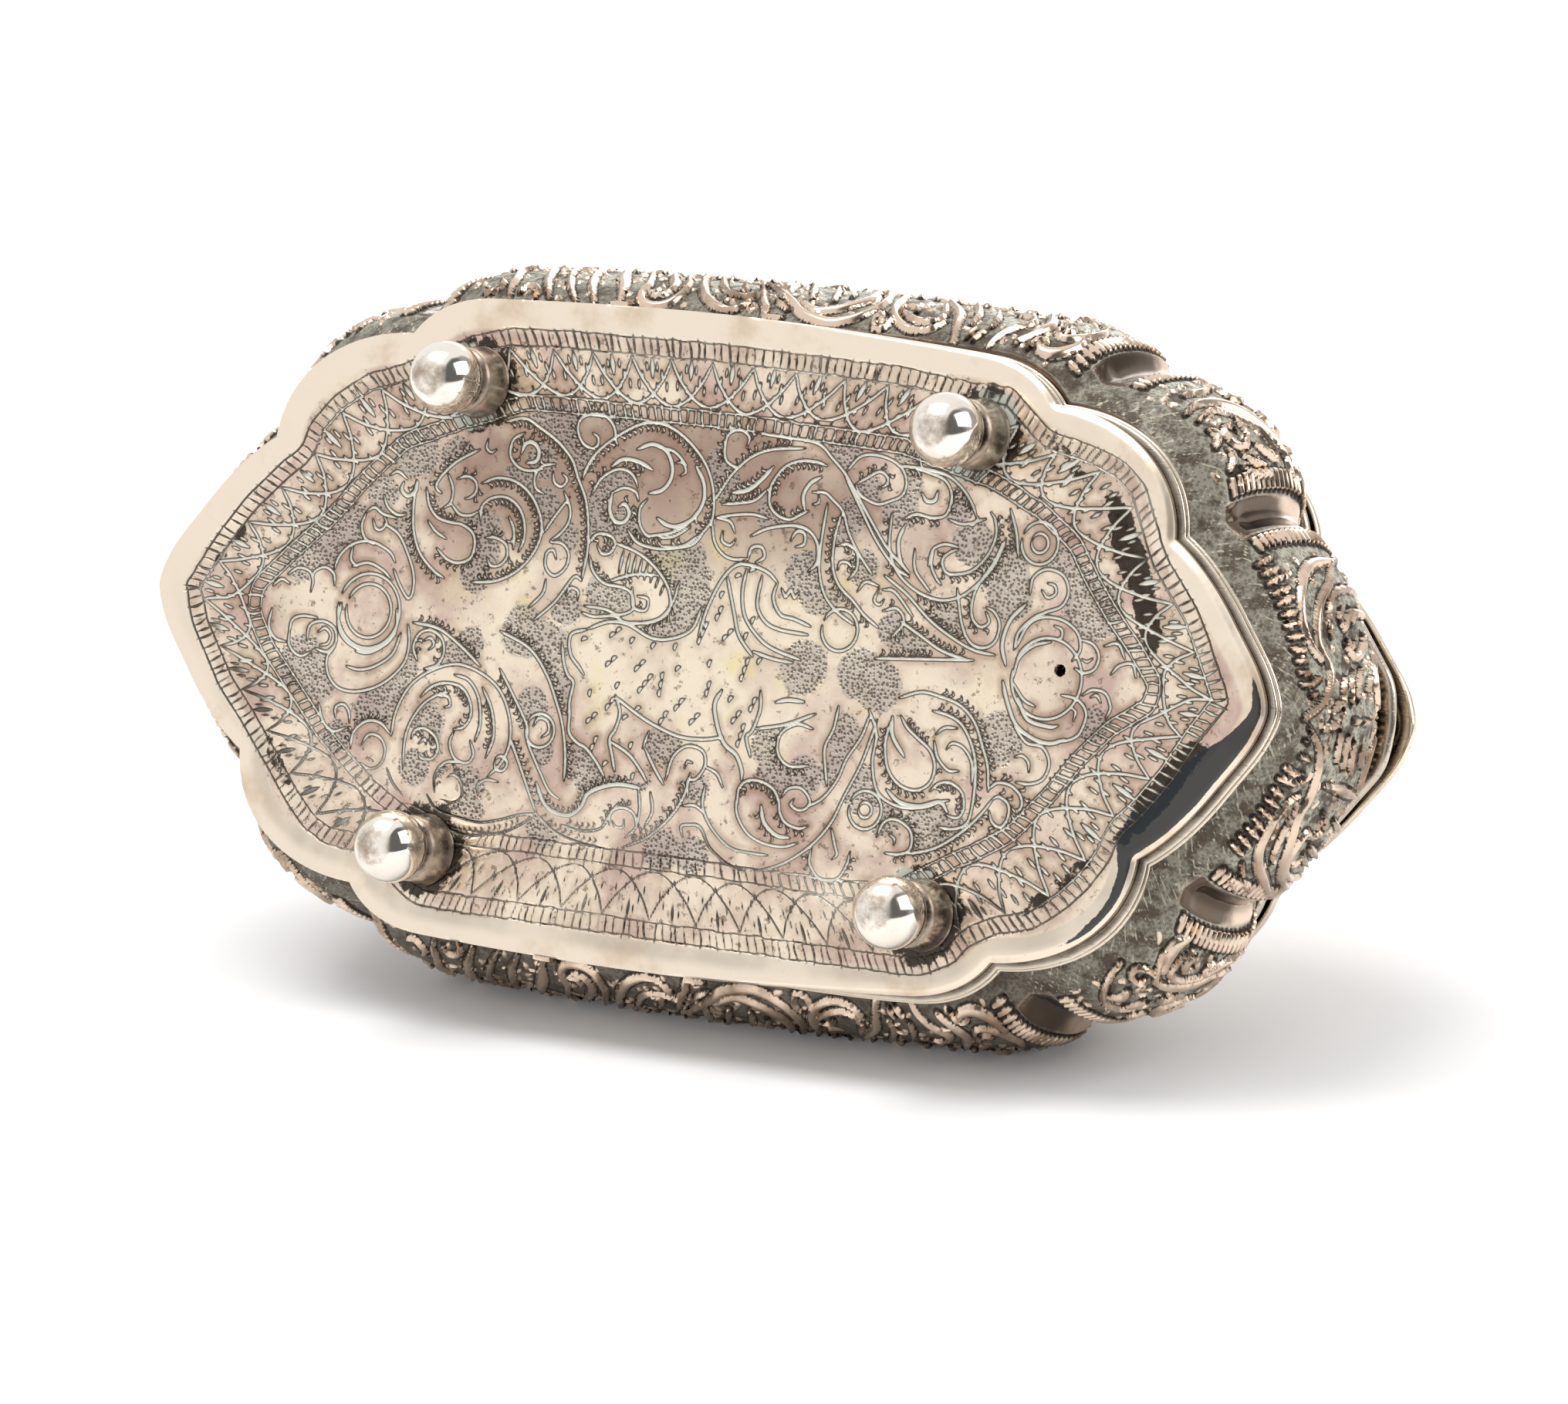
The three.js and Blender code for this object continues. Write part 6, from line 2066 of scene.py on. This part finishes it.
class SILVERBOX_OT_stage(bpy.types.Operator):
    """Makes the pale floor, the soft studio light and the camera."""

    bl_idname = "silver_box.stage"
    bl_label = "Stage"

    def execute(self, context):
        scene = context.scene
        scene.view_settings.view_transform = "Standard"
        self.camera(scene)
        self.floor(scene)
        self.world(scene)
        self.lamps(scene)
        return {"FINISHED"}

    def camera(self, scene):
        data = bpy.data.cameras.new("Camera")
        data.sensor_fit = "HORIZONTAL"
        data.sensor_width = 36
        data.lens = CAMERA_LENS
        data.clip_start, data.clip_end = 0.05, 20
        camera = bpy.data.objects.new("Camera", data)
        camera.matrix_world = Matrix.Translation(Vector(CAMERA_PLACE)) @ Matrix(CAMERA_TURN).to_4x4()
        scene.collection.objects.link(camera)
        scene.camera = camera

    def floor(self, scene):
        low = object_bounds()[0].y - FLOOR_GAP
        tilt = math.radians(FLOOR_TILT)
        slope, side = Vector((0, math.sin(tilt), math.cos(tilt))), Vector((1, 0, 0))
        touch = Vector((0, low, FLOOR_TOUCH))
        ends = ((-1, -1), (-1, 1), (1, 1), (1, -1))
        corners = [touch + side * a * FLOOR_REACH + slope * b * FLOOR_REACH for a, b in ends]
        mesh = bpy.data.meshes.new("Floor")
        mesh.from_pydata(corners, [], [(0, 1, 2, 3)])
        floor = bpy.data.objects.new("Floor", mesh)
        scene.collection.objects.link(floor)
        material = bpy.data.materials.new("Studio floor")
        material.use_nodes = True
        nodes = Nodes(material.node_tree)
        shader = nodes.tree.nodes["Principled BSDF"]
        nodes.put(shader.inputs["Base Color"], scene.silver_box_colours.floor)
        nodes.put(shader.inputs["Roughness"], 0.9)
        nodes.put(shader.inputs["Specular IOR Level"], 0.0)
        seen = nodes.wire("Is Camera Ray", "ShaderNodeLightPath") * FLOOR_GLOW
        white = nodes.wire(0, "ShaderNodeEmission", {"Color": (1, 1, 1), "Strength": 1.0})
        cloth = Wire(nodes, shader.outputs[0])
        lit = nodes.wire(0, "ShaderNodeMixShader", {0: seen, 1: cloth, 2: white})
        behind = nodes.wire("Backfacing", "ShaderNodeNewGeometry")
        clear = nodes.wire(0, "ShaderNodeBsdfTransparent")
        mixed = nodes.wire(0, "ShaderNodeMixShader", {0: behind, 1: lit, 2: clear})
        nodes.put(nodes.tree.nodes["Material Output"].inputs["Surface"], mixed)
        mesh.materials.append(material)
        floor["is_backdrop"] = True

    def world(self, scene):
        world = scene.world or bpy.data.worlds.new("World")
        scene.world = world
        world.use_nodes = True
        nodes = Nodes(world.node_tree)
        nodes.tree.nodes.clear()
        parts = nodes.add("ShaderNodeSeparateXYZ", {0: nodes.wire("Generated", "ShaderNodeTexCoord")})
        x, y, z = (Wire(nodes, socket) for socket in parts.outputs)
        dark = nodes.step(x, -0.34, -0.44) * nodes.step(y, 0.93, 0.86)
        shade = (1.0 - dark) + dark * nodes.step(z, -0.15, 0.25, 0.14, 0.40)
        grey = nodes.wire(0, "ShaderNodeBackground", {"Color": (1, 1, 1), "Strength": shade})
        white = nodes.wire(0, "ShaderNodeBackground", {"Color": (1, 1, 1), "Strength": 1.0})
        seen = nodes.wire("Is Camera Ray", "ShaderNodeLightPath")
        mixed = nodes.wire(0, "ShaderNodeMixShader", {0: seen, 1: grey, 2: white})
        nodes.put(nodes.add("ShaderNodeOutputWorld").inputs["Surface"], mixed)

    def lamps(self, scene):
        for name, place, power, wide, tall in LAMPS:
            data = bpy.data.lights.new(name, "AREA")
            data.shape = "RECTANGLE"
            data.size, data.size_y, data.energy = wide, tall, power
            light = bpy.data.objects.new(name, data)
            light.location = place
            facing = LAMP_TARGET - Vector(place)
            light.rotation_euler = facing.to_track_quat("-Z", "Y").to_euler()
            scene.collection.objects.link(light)


PIECES = (
    SILVERBOX_OT_base,
    SILVERBOX_OT_mouldings,
    SILVERBOX_OT_wall,
    SILVERBOX_OT_feet,
    SILVERBOX_OT_lid,
    SILVERBOX_OT_hinge,
    SILVERBOX_OT_stage,
)


class SILVERBOX_PT_panel(bpy.types.Panel):
    """Lists the sizes, the colours and the pieces of the box."""

    bl_idname = "SILVERBOX_PT_panel"
    bl_label = "Silver Box"
    bl_space_type = "VIEW_3D"
    bl_region_type = "UI"
    bl_category = "Silver Box"

    def draw(self, context):
        for group in (context.scene.silver_box_sizes, context.scene.silver_box_colours):
            box = self.layout.box()
            for key in group.__annotations__:
                box.prop(group, key)
        for operator in PIECES:
            self.layout.operator(operator.bl_idname)


CLASSES = (SilverBoxSizes, SilverBoxColours, *PIECES, SILVERBOX_PT_panel)


def register():
    for one in CLASSES:
        bpy.utils.register_class(one)
    bpy.types.Scene.silver_box_sizes = PointerProperty(type=SilverBoxSizes)
    bpy.types.Scene.silver_box_colours = PointerProperty(type=SilverBoxColours)


def unregister():
    del bpy.types.Scene.silver_box_colours
    del bpy.types.Scene.silver_box_sizes
    for one in reversed(CLASSES):
        bpy.utils.unregister_class(one)


def main():
    register()
    bpy.ops.silver_box.base()
    bpy.ops.silver_box.mouldings()
    bpy.ops.silver_box.wall()
    bpy.ops.silver_box.feet()
    bpy.ops.silver_box.lid()
    bpy.ops.silver_box.hinge()
    bpy.ops.silver_box.stage()


if __name__ == "__main__":
    main()
